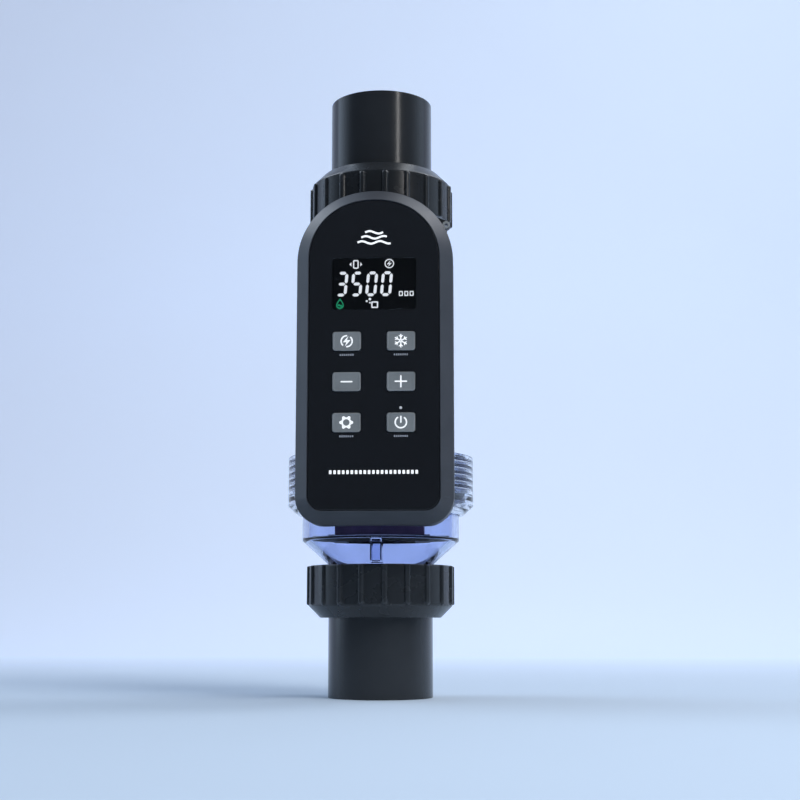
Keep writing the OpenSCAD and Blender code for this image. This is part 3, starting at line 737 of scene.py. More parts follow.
def worn(name, colour, edge_colour, rough, grain, depth):
    """Moulded plastic whose raised edges are rubbed a little lighter"""
    material, tree, principled, coords = shader(name)
    slow = noise(tree, coords, 60)
    fine = noise(tree, coords, grain, detail=2.0)
    pointed = node_in(tree, "ShaderNodeNewGeometry").outputs["Pointiness"]
    edges = remap(tree, pointed, (0.5, 0.56), (0.0, 1.0))
    rubbed = maths(tree, "MULTIPLY", edges, spread(tree, slow, 0.3, 0.9))
    mix = node_in(tree, "ShaderNodeMix", {
        "Factor": rubbed, 6: vary(tree, slow, colour, 0.08), 7: (*edge_colour, 1),
    }, data_type="RGBA")
    fill(tree, principled, {
        "Base Color": mix.outputs[2],
        "Roughness": spread(tree, slow, rough * 0.9, rough * 1.12),
        "Normal": bump(tree, fine, depth),
    })
    return material


def clear(name, tint, ripple=0.08 * MM, ior=1.49):
    """Clear moulded plastic with faint flow ripples"""
    material, tree, principled, coords = shader(name)
    slow = noise(tree, coords, 70, (1, 1, 0.35))
    fill(tree, principled, {
        "Base Color": vary(tree, slow, tint, 0.03),
        "Roughness": spread(tree, slow, 0.012, 0.03),
        "Normal": bump(tree, slow, ripple, 0.4),
        "Transmission Weight": 1.0,
        "IOR": ior,
    })
    return material


def clear_with_painted_thread_shade(name, tint, shade, low, high, pitch):
    """Clear plastic with a band of painted shade at every turn of its thread, from low up to high"""
    material = clear(name, tint, ior=1.32)
    tree = material.node_tree
    base = tree.nodes["Principled BSDF"].inputs["Base Color"]
    plain = base.links[0].from_socket
    coords = tree.nodes.new("ShaderNodeTexCoord").outputs["Object"]
    height = node_in(tree, "ShaderNodeSeparateXYZ", {0: coords}).outputs[2]
    turn = maths(tree, "MULTIPLY", maths(tree, "SUBTRACT", height, low), 2 * math.pi / pitch)
    # Painted shade: a darker band at each thread turn, for the dark look of the clear thread
    thread_shade_band = remap(tree, maths(tree, "COSINE", turn), (0.35, 0.85), (0.0, 1.0))
    above = maths(tree, "GREATER_THAN", height, low - pitch / 2)
    below = maths(tree, "LESS_THAN", height, high)
    fac = maths(tree, "MULTIPLY", thread_shade_band, maths(tree, "MULTIPLY", above, below))
    mix = node_in(tree, "ShaderNodeMix", {"Factor": fac, 6: plain, 7: (*shade, 1)}, data_type="RGBA")
    tree.links.new(mix.outputs[2], base)
    return material


def glowing(name, colour, strength):
    """A lit sign, or print given a painted glow: brighter in its middle by a soft cloud"""
    material, tree, principled, coords = shader(name)
    slow = noise(tree, coords, 900)
    fill(tree, principled, {
        "Emission Color": vary(tree, slow, colour, 0.04),
        "Base Color": vary(tree, slow, [channel * 0.6 for channel in colour], 0.04),
        "Emission Strength": strength,
        "Roughness": 0.5,
    })
    return material


def circuit(name):
    """Green solder mask with copper tracks that run under it"""
    material, tree, principled, coords = shader(name)
    cells = node_in(tree, "ShaderNodeTexVoronoi", {
        "Vector": coords, "Scale": 210.0, "Randomness": 0.6,
    }, feature="DISTANCE_TO_EDGE", distance="EUCLIDEAN")
    track = remap(tree, cells.outputs["Distance"], (0.04, 0.07), (1.0, 0.0))
    mix = node_in(tree, "ShaderNodeMix", {
        "Factor": track, 6: (0.008, 0.09, 0.04, 1), 7: (0.02, 0.2, 0.08, 1),
    }, data_type="RGBA")
    fill(tree, principled, {
        "Base Color": mix.outputs[2], "Normal": bump(tree, track, 0.03 * MM), "Roughness": 0.3,
    })
    return material


FINISHES = {}


def finish(slot):
    """The material of a record slot, or of a print or lit sign; each is made once"""
    if slot not in FINISHES:
        FINISHES[slot] = make_finish(slot)
    return FINISHES[slot]


def make_finish(slot):
    scene = bpy.context.scene
    unions, cell, box = scene.salt_unions, scene.salt_cell, scene.salt_controller
    drawn = (1, 1, 0.02)
    makers = {
        "union_plastic": lambda: moulded(slot, unions.pipe_colour, 0.2, 900, 0.004 * MM, drawn, 30),
        "nut_plastic": lambda: worn(slot, unions.nut_colour, (0.05, 0.055, 0.062), 0.26, 1800, 0.006 * MM),
        "seal_rubber": lambda: moulded(slot, (0.012, 0.012, 0.014), 0.62, 3000, 0.01 * MM),
        "blue_clear": lambda: clear(slot, cell.blue_tint, ior=1.27),
        # The lock ring's thread bands are painted shade
        "ring_clear": lambda: clear_with_painted_thread_shade(
            slot, cell.ring_tint, (0.07, 0.08, 0.13), SEAL_HIGH.z + 4.6 * MM, RING_HIGH.z - 1.5 * MM,
            cell.thread_pitch),
        "comb_plastic": lambda: moulded(slot, (0.01, 0.01, 0.013), 0.5),
        "titanium": lambda: moulded(slot, (0.5, 0.48, 0.46), 0.34, 2200, 0.01 * MM, (1, 1, 0.05), metal=1.0),
        "coated_plate": lambda: moulded(
            slot, (0.17, 0.1, 0.16), 0.48, 3200, 0.015 * MM, cloud=90, amount=0.25, metal=0.4),
        "brass": lambda: moulded(slot, (0.78, 0.55, 0.22), 0.28, 2400, 0.006 * MM, metal=1.0),
        "copper": lambda: moulded(slot, (0.82, 0.42, 0.26), 0.3, 2400, 0.006 * MM, drawn, metal=1.0),
        "magnet": lambda: moulded(slot, (0.62, 0.62, 0.64), 0.2, 2400, 0.003 * MM, metal=1.0),
        "bezel_plastic": lambda: worn(slot, box.bezel_colour, (0.085, 0.09, 0.1), 0.42, 2800, 0.008 * MM),
        "case_plastic": lambda: moulded(slot, box.case_colour, 0.45, 2400, 0.012 * MM),
        "panel_gloss": lambda: moulded(
            slot, box.panel_colour, 0.16, 3000, 0.0015 * MM, cloud=12, amount=0.05, coat=0.3),
        "window_smoke": lambda: clear(slot, (0.5, 0.51, 0.54), 0.01 * MM),
        "display_black": lambda: moulded(slot, (0.0025, 0.0028, 0.004), 0.35, 2600, 0.002 * MM),
        "light_pipe": lambda: glowing(slot, (0.9, 0.94, 1.0), box.glow * 0.12),
        "key_grey": lambda: worn(slot, box.key_colour, (0.34, 0.35, 0.36), 0.42, 2600, 0.006 * MM),
        "board_green": lambda: circuit(slot),
        "switch_grey": lambda: moulded(slot, (0.03, 0.03, 0.034), 0.4),
        "relay_blue": lambda: moulded(slot, (0.02, 0.09, 0.32), 0.36),
        "capacitor_dark": lambda: moulded(slot, (0.012, 0.016, 0.045), 0.26, coat=0.4),
        "aluminium": lambda: moulded(slot, (0.7, 0.71, 0.73), 0.36, 1600, 0.02 * MM, drawn, metal=1.0),
        "block_green": lambda: moulded(slot, (0.03, 0.22, 0.07), 0.4),
        "screw_steel": lambda: moulded(slot, (0.62, 0.63, 0.66), 0.24, 2600, 0.005 * MM, metal=1.0),
        # White print that glows though it is no lamp: painted light
        "white_ink": lambda: glowing(slot, (0.93, 0.95, 0.97), 0.7),
        "dim_ink": lambda: moulded(slot, (0.36, 0.38, 0.42), 0.5, 3000, 0.002 * MM),
        "display_white": lambda: glowing(slot, (0.93, 0.97, 1.0), box.glow),
        "display_green": lambda: glowing(slot, (0.03, 0.62, 0.28), box.glow * 0.55),
    }
    return makers[slot]()


# ---------------------------------------------------------------- flat signs


def stroke(points, width):
    """The outline of a line of even width through points, with flat ends"""
    left, right = [], []
    for index, point in enumerate(points):
        here = Vector(point)
        before = Vector(points[max(index - 1, 0)])
        after = Vector(points[min(index + 1, len(points) - 1)])
        side = (after - before).normalized().orthogonal()
        first = (here - before).normalized() if index else (after - here).normalized()
        reach = width / 2 / max(first.orthogonal().dot(side), 0.4)
        left.append(tuple(here + side * reach))
        right.append(tuple(here - side * reach))
    return left + right[::-1]


def pill(x0, z0, x1, z1, width):
    """The outline of a line with round ends"""
    along = Vector((x1 - x0, z1 - z0))
    lean = math.degrees(math.atan2(along.y, along.x))
    return arc(x1, z1, width / 2, lean - 90, lean + 90, 6) + arc(x0, z0, width / 2, lean + 90, lean + 270, 6)


def circle(x, z, radius, steps=36):
    return arc(x, z, radius, 0, 360, steps)[:-1]


def hoop(x, z, radius, width):
    """An outer and an inner loop"""
    return circle(x, z, radius), circle(x, z, radius - width)


def bolt(x, z, size):
    """A lightning flash"""
    shape = ((0.24, 0.7), (-0.5, -0.14), (-0.02, -0.14), (-0.24, -0.7), (0.5, 0.14), (0.02, 0.14))
    return [(x + size * u, z + size * v) for u, v in shape]


def cog(x, z, radius, teeth):
    """A cog's outer loop, with soft teeth, and its hole"""
    outer, inner = [], []
    steps = teeth * 8
    for step in range(steps):
        angle = 2 * math.pi * step / steps
        wave = math.cos(teeth * angle)
        high = radius * (0.86 + 0.14 * max(min(wave * 1.8, 1), -1))
        outer.append((x + high * math.cos(angle), z + high * math.sin(angle)))
        inner.append((x + radius * 0.48 * math.cos(angle), z + radius * 0.48 * math.sin(angle)))
    return outer, inner


def drop(x, z, size):
    """A water drop: round below, drawn to a point above"""
    points, steps = [], 28
    for step in range(steps):
        angle = 2 * math.pi * step / steps
        narrow = math.sin(angle / 2) ** 1.2
        points.append((x + size * 0.98 * math.sin(angle) * narrow, z + size * math.cos(angle)))
    return points


def ripple(x, z, half, rise, steps, waves):
    """Points along a level wave"""
    return [
        (x - half + 2 * half * step / steps, z + rise * math.sin(2 * math.pi * waves * step / steps))
        for step in range(steps + 1)
    ]


def snowflake(x, z, size, width):
    """Six arms, each with a pair of barbs"""
    shapes = []
    for arm in range(6):
        lean = math.radians(30 + 60 * arm)
        out = Vector((math.cos(lean), math.sin(lean)))
        shapes.append(pill(*(Vector((x, z)) + out * width * 0.9), *(Vector((x, z)) + out * size), width))
        for side in (-1, 1):
            barb = Matrix.Rotation(side * math.radians(52), 2) @ out
            foot = Vector((x, z)) + out * size * 0.62
            shapes.append(pill(*(foot + barb * width * 0.3), *(foot + barb * size * 0.36), width * 0.7))
    return shapes


def sign(name, shapes, y_front, y_back):
    """Raises flat outlines in X and Z to a thin solid; a pair of loops is a ring"""
    work = bmesh.new()
    for shape in shapes:
        ring = isinstance(shape, tuple)
        loops = shape if ring else (shape,)
        rows = [[[work.verts.new((x, y, z)) for x, z in loop] for y in (y_front, y_back)] for loop in loops]
        for front, back in rows:
            for index in range(len(front)):
                ahead = (index + 1) % len(front)
                work.faces.new((front[index], front[ahead], back[ahead], back[index]))
        for level in (0, 1):
            if ring:
                outer, inner = rows[0][level], rows[1][level]
                for index in range(len(outer)):
                    ahead = (index + 1) % len(outer)
                    work.faces.new((outer[index], outer[ahead], inner[ahead], inner[index]))
            else:
                work.faces.new(rows[0][level])
    bmesh.ops.recalc_face_normals(work, faces=work.faces)
    bmesh.ops.triangulate(work, faces=[face for face in work.faces if len(face.verts) > 4])
    mesh = bpy.data.meshes.new(name)
    work.to_mesh(mesh)
    work.free()
    piece = bpy.data.objects.new(name, mesh)
    bpy.context.scene.collection.objects.link(piece)
    return piece


# ---------------------------------------------------------------- pieces


def ridge_points(base, tip, level, count, pitch):
    """Thread ridges as (radius, height, rounding) corners, going up"""
    corners = []
    for index in range(count):
        low = level + index * pitch
        corners += [
            (base, low, 0.25 * MM), (tip, low + 0.8 * MM, 0.2 * MM),
            (tip, low + 1.6 * MM, 0.2 * MM), (base, low + 2.4 * MM, 0.25 * MM),
        ]
    return corners


def turned_over(piece):
    """Turns a piece end for end about the middle of the unit, as the upper union is"""
    piece.data.transform(Matrix.Translation((0, 0, HEIGHT)) @ Matrix.Scale(-1, 4, (0, 0, 1)))
    piece.data.flip_normals()
    return piece


class SALT_CELL_OT_make_pipe_ends(Operator):
    """Turns the two black pipe ends with their flanges, glue sockets and seal grooves"""

    bl_idname = "salt_cell.make_pipe_ends"
    bl_label = "Pipe Ends"

    def execute(self, context):
        groove_low, groove_high = 27.45 * MM, 31.05 * MM
        groove_z = FLANGE_Z1 - 1.6 * MM
        corners = [
            (SPIGOT_R, 0, 0.5 * MM), (SPIGOT_R, FLANGE_Z0, 0.4 * MM), (FLANGE_R, FLANGE_Z0, 0.4 * MM),
            (FLANGE_R, FLANGE_Z1, 0.4 * MM), (groove_high, FLANGE_Z1, 0), (groove_high, groove_z, 0),
            (groove_low, groove_z, 0), (groove_low, FLANGE_Z1, 0), (STOP_R, FLANGE_Z1, 0.5 * MM),
            (STOP_R, SOCKET_DEPTH, 0.4 * MM), (SOCKET_R, SOCKET_DEPTH, 0.3 * MM), (SOCKET_R, 0, 0.8 * MM),
        ]
        for end in ("lower", "upper"):
            piece = lathe(f"{end}_pipe_end", fillet(corners))
            if end == "upper":
                turned_over(piece)
            settle(dress(piece), CELL, f"{end}_tailpiece")
        return {"FINISHED"}


class SALT_CELL_OT_make_union_nuts(Operator):
    """Turns the two union nuts and raises their grip ribs"""

    bl_idname = "salt_cell.make_union_nuts"
    bl_label = "Union Nuts"

    def execute(self, context):
        unions, pitch = context.scene.salt_unions, context.scene.salt_cell.thread_pitch
        lip_z = FLANGE_Z0 - 0.6 * MM
        inside = (
            [(SPIGOT_R + 0.5 * MM, NUT_Z0, 0.4 * MM), (SPIGOT_R + 0.5 * MM, lip_z, 0.3 * MM),
             (36.2 * MM, lip_z, 0.3 * MM), (36.2 * MM, FLANGE_Z1 + 0.6 * MM, 0.3 * MM),
             (GROOVE_ROOT_R, FLANGE_Z1 + 2.3 * MM, 0.3 * MM)]
            + ridge_points(GROOVE_ROOT_R, GROOVE_CREST_R, NECK_Z0 + 3 * MM, NECK_RIDGES, pitch)
            + [(GROOVE_ROOT_R, NUT_Z1, 0.6 * MM)]
        )
        outside = [(NUT_ROOT_R, NUT_Z1, 0.9 * MM), (NUT_ROOT_R, NUT_Z0 + NUT_CHAMFER, 1.2 * MM),
                   (NUT_ROOT_R - NUT_CHAMFER, NUT_Z0, 0.9 * MM)]
        profile = self.with_rows(fillet(inside + outside, 3), 0.5 * MM)
        ribs = grip_ribs_tree()
        for end in ("lower", "upper"):
            piece = lathe(f"{end}_grip_nut", profile, 480)
            run_tree(
                piece, ribs, ribs=unions.rib_count, phase=unions.rib_phase, rib_height=unions.rib_height,
                rib_half=unions.rib_width / 2, rib_edge=unions.rib_edge, root_radius=NUT_ROOT_R,
                rib_start=NUT_Z0 + NUT_CHAMFER + unions.rib_width / 2 + 0.9 * MM, finish=finish("nut_plastic")
            )
            if end == "upper":
                turned_over(piece)
            settle(dress(piece, sharp=50), f"{end}_nut", f"{end}_union_nut")
        return {"FINISHED"}

    def with_rows(self, profile, spacing):
        """Adds points up the outer wall, so that the ribs' round ends have rows to follow"""
        rows = []
        for index, here in enumerate(profile):
            rows.append(here)
            ahead = profile[(index + 1) % len(profile)]
            long = abs(ahead[1] - here[1])
            if min(here[0], ahead[0]) > NUT_ROOT_R - 0.2 * MM and long > spacing:
                count = int(long / spacing)
                fine = [step / count for step in range(1, count)]
                rows += [(here[0], here[1] + (ahead[1] - here[1]) * share) for share in fine]
        return rows


class SALT_CELL_OT_make_seals(Operator):
    """Rings the union seals and the thick housing seal"""

    bl_idname = "salt_cell.make_seals"
    bl_label = "Seals"

    def execute(self, context):
        cord = context.scene.salt_cell.seal_cord
        ring = seal_ring("housing_seal_ring", SKIRT_INNER_R + 0.6 * MM, SEAL_LOW, SEAL_HIGH, cord)
        settle(dress(ring, sharp=60), CELL, "housing_seal")
        for end in ("lower", "upper"):
            low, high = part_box(f"{end}_union_seal")
            ring = seal_ring(f"{end}_seal_ring", 27.5 * MM, low, high, 0.6 * MM)
            settle(dress(ring, sharp=60), CELL, f"{end}_union_seal")
        return {"FINISHED"}


def neck_corners(pitch):
    """The threaded neck and its step, as corners going up"""
    return (
        [(RIDGE_ROOT_R, NECK_Z0, 0.3 * MM)]
        + ridge_points(RIDGE_ROOT_R, RIDGE_CREST_R, NECK_Z0 + 1 * MM, NECK_RIDGES, pitch)
        + [(RIDGE_ROOT_R, NECK_Z1, 0.4 * MM), (NECK_R, NECK_Z1, 0.4 * MM)]
    )


class SALT_CELL_OT_make_lower_housing(Operator):
    """Turns the clear lower housing and moulds its gusset and guide rib on"""

    bl_idname = "salt_cell.make_lower_housing"
    bl_label = "Lower Housing"

    def execute(self, context):
        pitch = context.scene.salt_cell.thread_pitch
        corners = neck_corners(pitch) + [
            (NECK_R, CONE_Z0, 0.8 * MM), (CHAMBER_R, CONE_Z1, 0.5 * MM), (CHAMBER_R, COLLAR_Z0, 0.5 * MM),
            (COLLAR_R, COLLAR_Z0, 0.4 * MM), (COLLAR_R, COLLAR_Z1, 0.4 * MM),
            (CHAMBER_INNER_R, COLLAR_Z1, 0.4 * MM), (CHAMBER_INNER_R, CONE_Z1 + 1.6 * MM, 0.5 * MM),
            (SOCKET_R + 1.5 * MM, CONE_Z0 + 1.4 * MM, 1.0 * MM), (SOCKET_R, CONE_Z0, 0.8 * MM),
            (SOCKET_R, NECK_Z0, 0.4 * MM),
        ]
        piece = lathe("lower_clear_housing", fillet(corners, 4), 256)
        foot, front = CONE_Z0 + 0.6 * MM, -CHAMBER_R + 0.15 * MM
        side = [
            (-NECK_R + 0.5 * MM, foot), (-CHAMBER_R + 1.2 * MM, foot), (front, foot + 1.1 * MM),
            (front, CONE_Z1 + 1 * MM), (-NECK_R - 8 * MM, CONE_Z1),
        ]
        gusset = slab("gusset", side, GUSSET_HALF)
        skin = 0.8 * MM
        side = [
            (-NECK_R - 1 * MM, foot + skin), (-CHAMBER_R + 1.2 * MM, foot + skin),
            (front + skin, foot + 2 * MM), (front + skin, CONE_Z1 - skin), (-NECK_R - 1 * MM, CONE_Z1 - skin),
        ]
        combine(gusset, slab("hollow", side, GUSSET_HALF - skin), "DIFFERENCE")
        combine(piece, gusset, "UNION")
        low, high = CONE_Z1 + 3 * MM, COLLAR_Z1 - 2 * MM
        front, back = -CHAMBER_INNER_R - 1 * MM, -CHAMBER_INNER_R + 2.2 * MM
        side = [(front, low), (back, low), (back, high), (front, high)]
        combine(piece, slab("guide", side, GUSSET_HALF), "UNION")
        settle(dress(piece, 0.12 * MM), CELL, "lower_housing")
        return {"FINISHED"}


class SALT_CELL_OT_make_upper_housing(Operator):
    """Turns the clear upper housing and moulds the controller's pad on, drilled for posts and screws"""

    bl_idname = "salt_cell.make_upper_housing"
    bl_label = "Upper Housing"

    def execute(self, context):
        pitch = context.scene.salt_cell.thread_pitch
        skirt_z0, skirt_z1 = SEAL_HIGH.z, RING_HIGH.z
        shoulder = skirt_z1 + 7 * MM
        neck = [(r, HEIGHT - z, rounding) for r, z, rounding in reversed(neck_corners(pitch))]
        top = HEIGHT - CONE_Z0
        corners = (
            [(SKIRT_INNER_R, skirt_z0, 0.4 * MM), (SKIRT_ROOT_R, skirt_z0, 0.3 * MM)]
            + ridge_points(SKIRT_ROOT_R, SKIRT_CREST_R, skirt_z0 + 1.4 * MM, SKIRT_RIDGES, pitch)
            + [(SKIRT_ROOT_R, skirt_z1, 1.5 * MM), (TUBE_R + 3 * MM, skirt_z1 + 4.4 * MM, 1.5 * MM),
               (TUBE_R, shoulder, 1 * MM), (TUBE_R, TUBE_Z1, 2 * MM), (NECK_R, top, 0.8 * MM)]
            + neck
            + [(SOCKET_R, HEIGHT - NECK_Z0, 0.4 * MM), (SOCKET_R, top - 3.6 * MM, 2 * MM),
               (TUBE_INNER_R, TUBE_Z1 - 3 * MM, 2 * MM), (TUBE_INNER_R, shoulder + 4 * MM, 2 * MM),
               (SKIRT_INNER_R, skirt_z1 - 2 * MM, 1.5 * MM)]
        )
        piece = lathe("upper_clear_housing", fillet(corners, 4), 256)
        pad_low, pad_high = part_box("pad_gasket")
        pad_y = pad_high.y
        middle = middle_of(pad_low, pad_high)
        pad = pressing(
            "pad", keyed_rectangle(middle, pad_high.x - pad_low.x, pad_high.z - pad_low.z, 2 * MM),
            [(0, pad_y), (0, -TUBE_R + 8 * MM)]
        )
        bore_r, foot, head = TUBE_INNER_R + 1 * MM, pad_low.z - 5 * MM, pad_high.z + 5 * MM
        inside = lathe("inside", [(0, foot), (bore_r, foot), (bore_r, head), (0, head)], 256)
        combine(pad, inside, "DIFFERENCE")
        combine(piece, pad, "UNION")
        post_low, post_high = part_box("terminal_posts")
        post_r = (post_high.z - post_low.z) / 2
        screw_low, screw_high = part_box("pad_screws")
        holes = [(x, (post_low.z + post_high.z) / 2, post_r + 0.05 * MM, 30 * MM)
                 for x in (post_low.x + post_r, post_high.x - post_r)]
        holes += [(x, holes[0][1], 5.6 * MM, 2 * MM) for x, *_ in holes]
        holes += [(x, z, 1.55 * MM, 7 * MM) for x in (screw_low.x + 3 * MM, screw_high.x - 3 * MM)
                  for z in (screw_low.z + 3 * MM, screw_high.z - 3 * MM)]
        for x, z, radius, depth in holes:
            combine(piece, lathe("hole", [(0, -5 * MM), (radius, -5 * MM), (radius, depth), (0, depth)], 32,
                                 along_y(x, pad_y, z, 1)), "DIFFERENCE")
        settle(dress(piece, 0.12 * MM), CELL, "upper_housing")
        return {"FINISHED"}


class SALT_CELL_OT_make_lock_ring(Operator):
    """Turns the clear lock ring with its thread and sloping lower edge"""

    bl_idname = "salt_cell.make_lock_ring"
    bl_label = "Lock Ring"

    def execute(self, context):
        pitch = context.scene.salt_cell.thread_pitch
        low, high = RING_LOW.z, RING_HIGH.z
        lip_r, root_r, crest_r = CHAMBER_R + 0.6 * MM, 54 * MM, 52.6 * MM
        corners = (
            [(lip_r, low, 0.5 * MM), (lip_r, COLLAR_Z0 - 0.3 * MM, 0.3 * MM),
             (crest_r + 0.1 * MM, COLLAR_Z0 - 0.3 * MM, 0.3 * MM),
             (crest_r + 0.1 * MM, COLLAR_Z1 + 0.4 * MM, 0.3 * MM), (root_r, SEAL_HIGH.z + 1 * MM, 0.4 * MM)]
            + ridge_points(root_r, crest_r, SEAL_HIGH.z + 3.4 * MM, SKIRT_RIDGES, pitch)
            + [(root_r, high, 0.3 * MM), (RING_R, high, 0.9 * MM), (RING_R, low + 5.4 * MM, 1.5 * MM),
               (lip_r + 2 * MM, low, 0.8 * MM)]
        )
        piece = lathe("clear_lock_ring", fillet(corners, 4), 256)
        settle(dress(piece), "ring", "lock_ring")
        return {"FINISHED"}


class SALT_CELL_OT_make_electrodes(Operator):
    """Makes the electrode plates, their combs, the straps and the sealed posts"""

    bl_idname = "salt_cell.make_electrodes"
    bl_label = "Electrodes"

    def execute(self, context):
        settle_refined(
            0.25 * MM, *PLATES, "lower_plate_comb", "upper_plate_comb", "anode_strap", "cathode_strap"
        )
        settle_refined(0.4 * MM, "terminal_posts")
        settle_refined(0.3 * MM, "terminal_nuts")
        settle_refined(0.4 * MM, "terminal_seals")
        settle_refined(0.1 * MM, "terminal_leads")
        low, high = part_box("terminal_posts")
        radius = (high.z - low.z) / 2
        rods = [low.x + radius, high.x - radius]
        thread = lathe("thread", fillet([
            (radius - 0.4 * MM, 0, 0), (radius - 0.02 * MM, 0, 0.1 * MM),
            (radius + 0.01 * MM, 0.35 * MM, 0.05 * MM), (radius - 0.02 * MM, 0.7 * MM, 0.1 * MM),
            (radius - 0.4 * MM, 0.7 * MM, 0),
        ], 2), 32, along_y(0, 0, 0, 1))
        turns = [(x, low.y + (1 + turn) * MM, (low.z + high.z) / 2) for x in rods for turn in range(8)]
        ridges = set_out("terminal_post_threads", thread, turns, "titanium")
        attach(dress(ridges), CELL, "titanium")
        return {"FINISHED"}


class SALT_CELL_OT_make_flow_switch(Operator):
    """Makes the flow paddle with its magnet, bracket and pin, and the reed sensor"""

    bl_idname = "salt_cell.make_flow_switch"
    bl_label = "Flow Switch"

    def execute(self, context):
        settle_refined(0.15 * MM, "paddle_bracket", "paddle_pin", "reed_sensor")
        settle_refined(0.15 * MM, "flow_paddle", "paddle_magnet", body="paddle")
        return {"FINISHED"}


def face_openings():
    """The openings in the face, as low corner, high corner and corner radius"""
    inset = KEY_FLANGE - KEY_GAP
    grown = Vector((0.1, 0, 0.1)) * MM
    yield WINDOW_LOW - grown, WINDOW_HIGH + grown, 1.5 * MM
    for name in KEYS:
        low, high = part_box(f"key_{name}")
        yield low + Vector((inset, 0, inset)), high - Vector((inset, 0, inset)), 1.8 * MM
    low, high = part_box("status_light")
    yield low - grown, high + grown, 0.88 * MM


def cut_openings(piece, front, back):
    """Cuts the face's openings through a piece, from one Y to another"""
    for low, high, radius in face_openings():
        middle = middle_of(low, high)
        outline = keyed_rectangle(middle, high.x - low.x, high.z - low.z, radius)
        combine(piece, pressing("opening", outline, [(0, front), (0, back)]), "DIFFERENCE")


class SALT_CELL_OT_make_case(Operator):
    """Skins the front shell with its sloping bezel, and finishes the back shell and gaskets"""

    bl_idname = "salt_cell.make_case"
    bl_label = "Controller Case"

    def execute(self, context):
        face_back = PANEL_BACK_Y + 1.4 * MM
        cavity = -BEZEL_WIDTH - 2.4 * MM
        section = fillet([
            (-BEZEL_WIDTH, PANEL_BACK_Y, 0), (-BEZEL_WIDTH, BEZEL_Y, 0.25 * MM), (0, RIM_Y, 2.2 * MM),
            (0, SPLIT_Y, 0.25 * MM), (-CASE_WALL, SPLIT_Y, 0.2 * MM), (-CASE_WALL, RIM_Y + 1 * MM, 0.8 * MM),
            (cavity, face_back, 0),
        ], 8, closed=False)
        piece = pressing("front_shell_finished", case_outline, section)
        cut_openings(piece, BEZEL_Y - 1 * MM, face_back + 1 * MM)
        settle(dress(piece, 0.0, 32), CELL, "front_shell")
        settle_refined(0.45 * MM, "back_shell")
        settle_refined(0.1 * MM, "shell_gasket", "pad_gasket")
        # A light grey ring round the lug's hole: painted highlight, for the light the black lug catches
        highlight_ring = lathe("lug_eyelet", fillet([
            (LUG_HOLE_R, 0, 0), (2.3 * MM, 0, 0), (2.3 * MM, 1.3 * MM, 0.25 * MM),
            (LUG_HOLE_R, 1.3 * MM, 0.2 * MM),
        ], 4), 48, along_y(LUG_X, SPLIT_Y + 1 * MM, LUG_Z))
        attach(dress(highlight_ring), CELL, "key_grey")
        return {"FINISHED"}


class SALT_CELL_OT_make_front_panel(Operator):
    """Makes the gloss panel with its openings, the smoked window and the status light"""

    bl_idname = "salt_cell.make_front_panel"
    bl_label = "Front Panel"

    def execute(self, context):
        section = fillet([
            (-PANEL_INSET - 0.2 * MM, PANEL_BACK_Y, 0), (-PANEL_INSET, PANEL_BACK_Y, 0),
            (-PANEL_INSET, PANEL_Y, 0.35 * MM), (-PANEL_INSET - 1.5 * MM, PANEL_Y, 0),
        ], 4, closed=False)
        piece = pressing("gloss_panel", case_outline, section)
        cut_openings(piece, BEZEL_Y - 1 * MM, PANEL_BACK_Y + 1 * MM)
        settle(dress(piece, 0.08 * MM), CELL, "front_panel")
        size = WINDOW_HIGH - WINDOW_LOW
        outline = keyed_rectangle(middle_of(WINDOW_LOW, WINDOW_HIGH), size.x, size.z, 1.4 * MM)
        steps = [(0, WINDOW_HIGH.y), (0, WINDOW_LOW.y + 0.1 * MM), (-0.1 * MM, WINDOW_LOW.y)]
        window = pressing("smoked_window", outline, steps)
        settle(dress(window), CELL, "display_window")
        low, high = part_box("status_light")
        radius, depth = (high.x - low.x) / 2, high.y - low.y
        x, z = middle_of(low, high)
        light = lathe("status_light_pipe", fillet([
            (0, 0, 0), (radius, 0, 0), (radius, depth, 0.3 * MM), (0, depth, 0),
        ], 4), 32, along_y(x, high.y, z))
        settle(dress(light), CELL, "status_light")
        return {"FINISHED"}


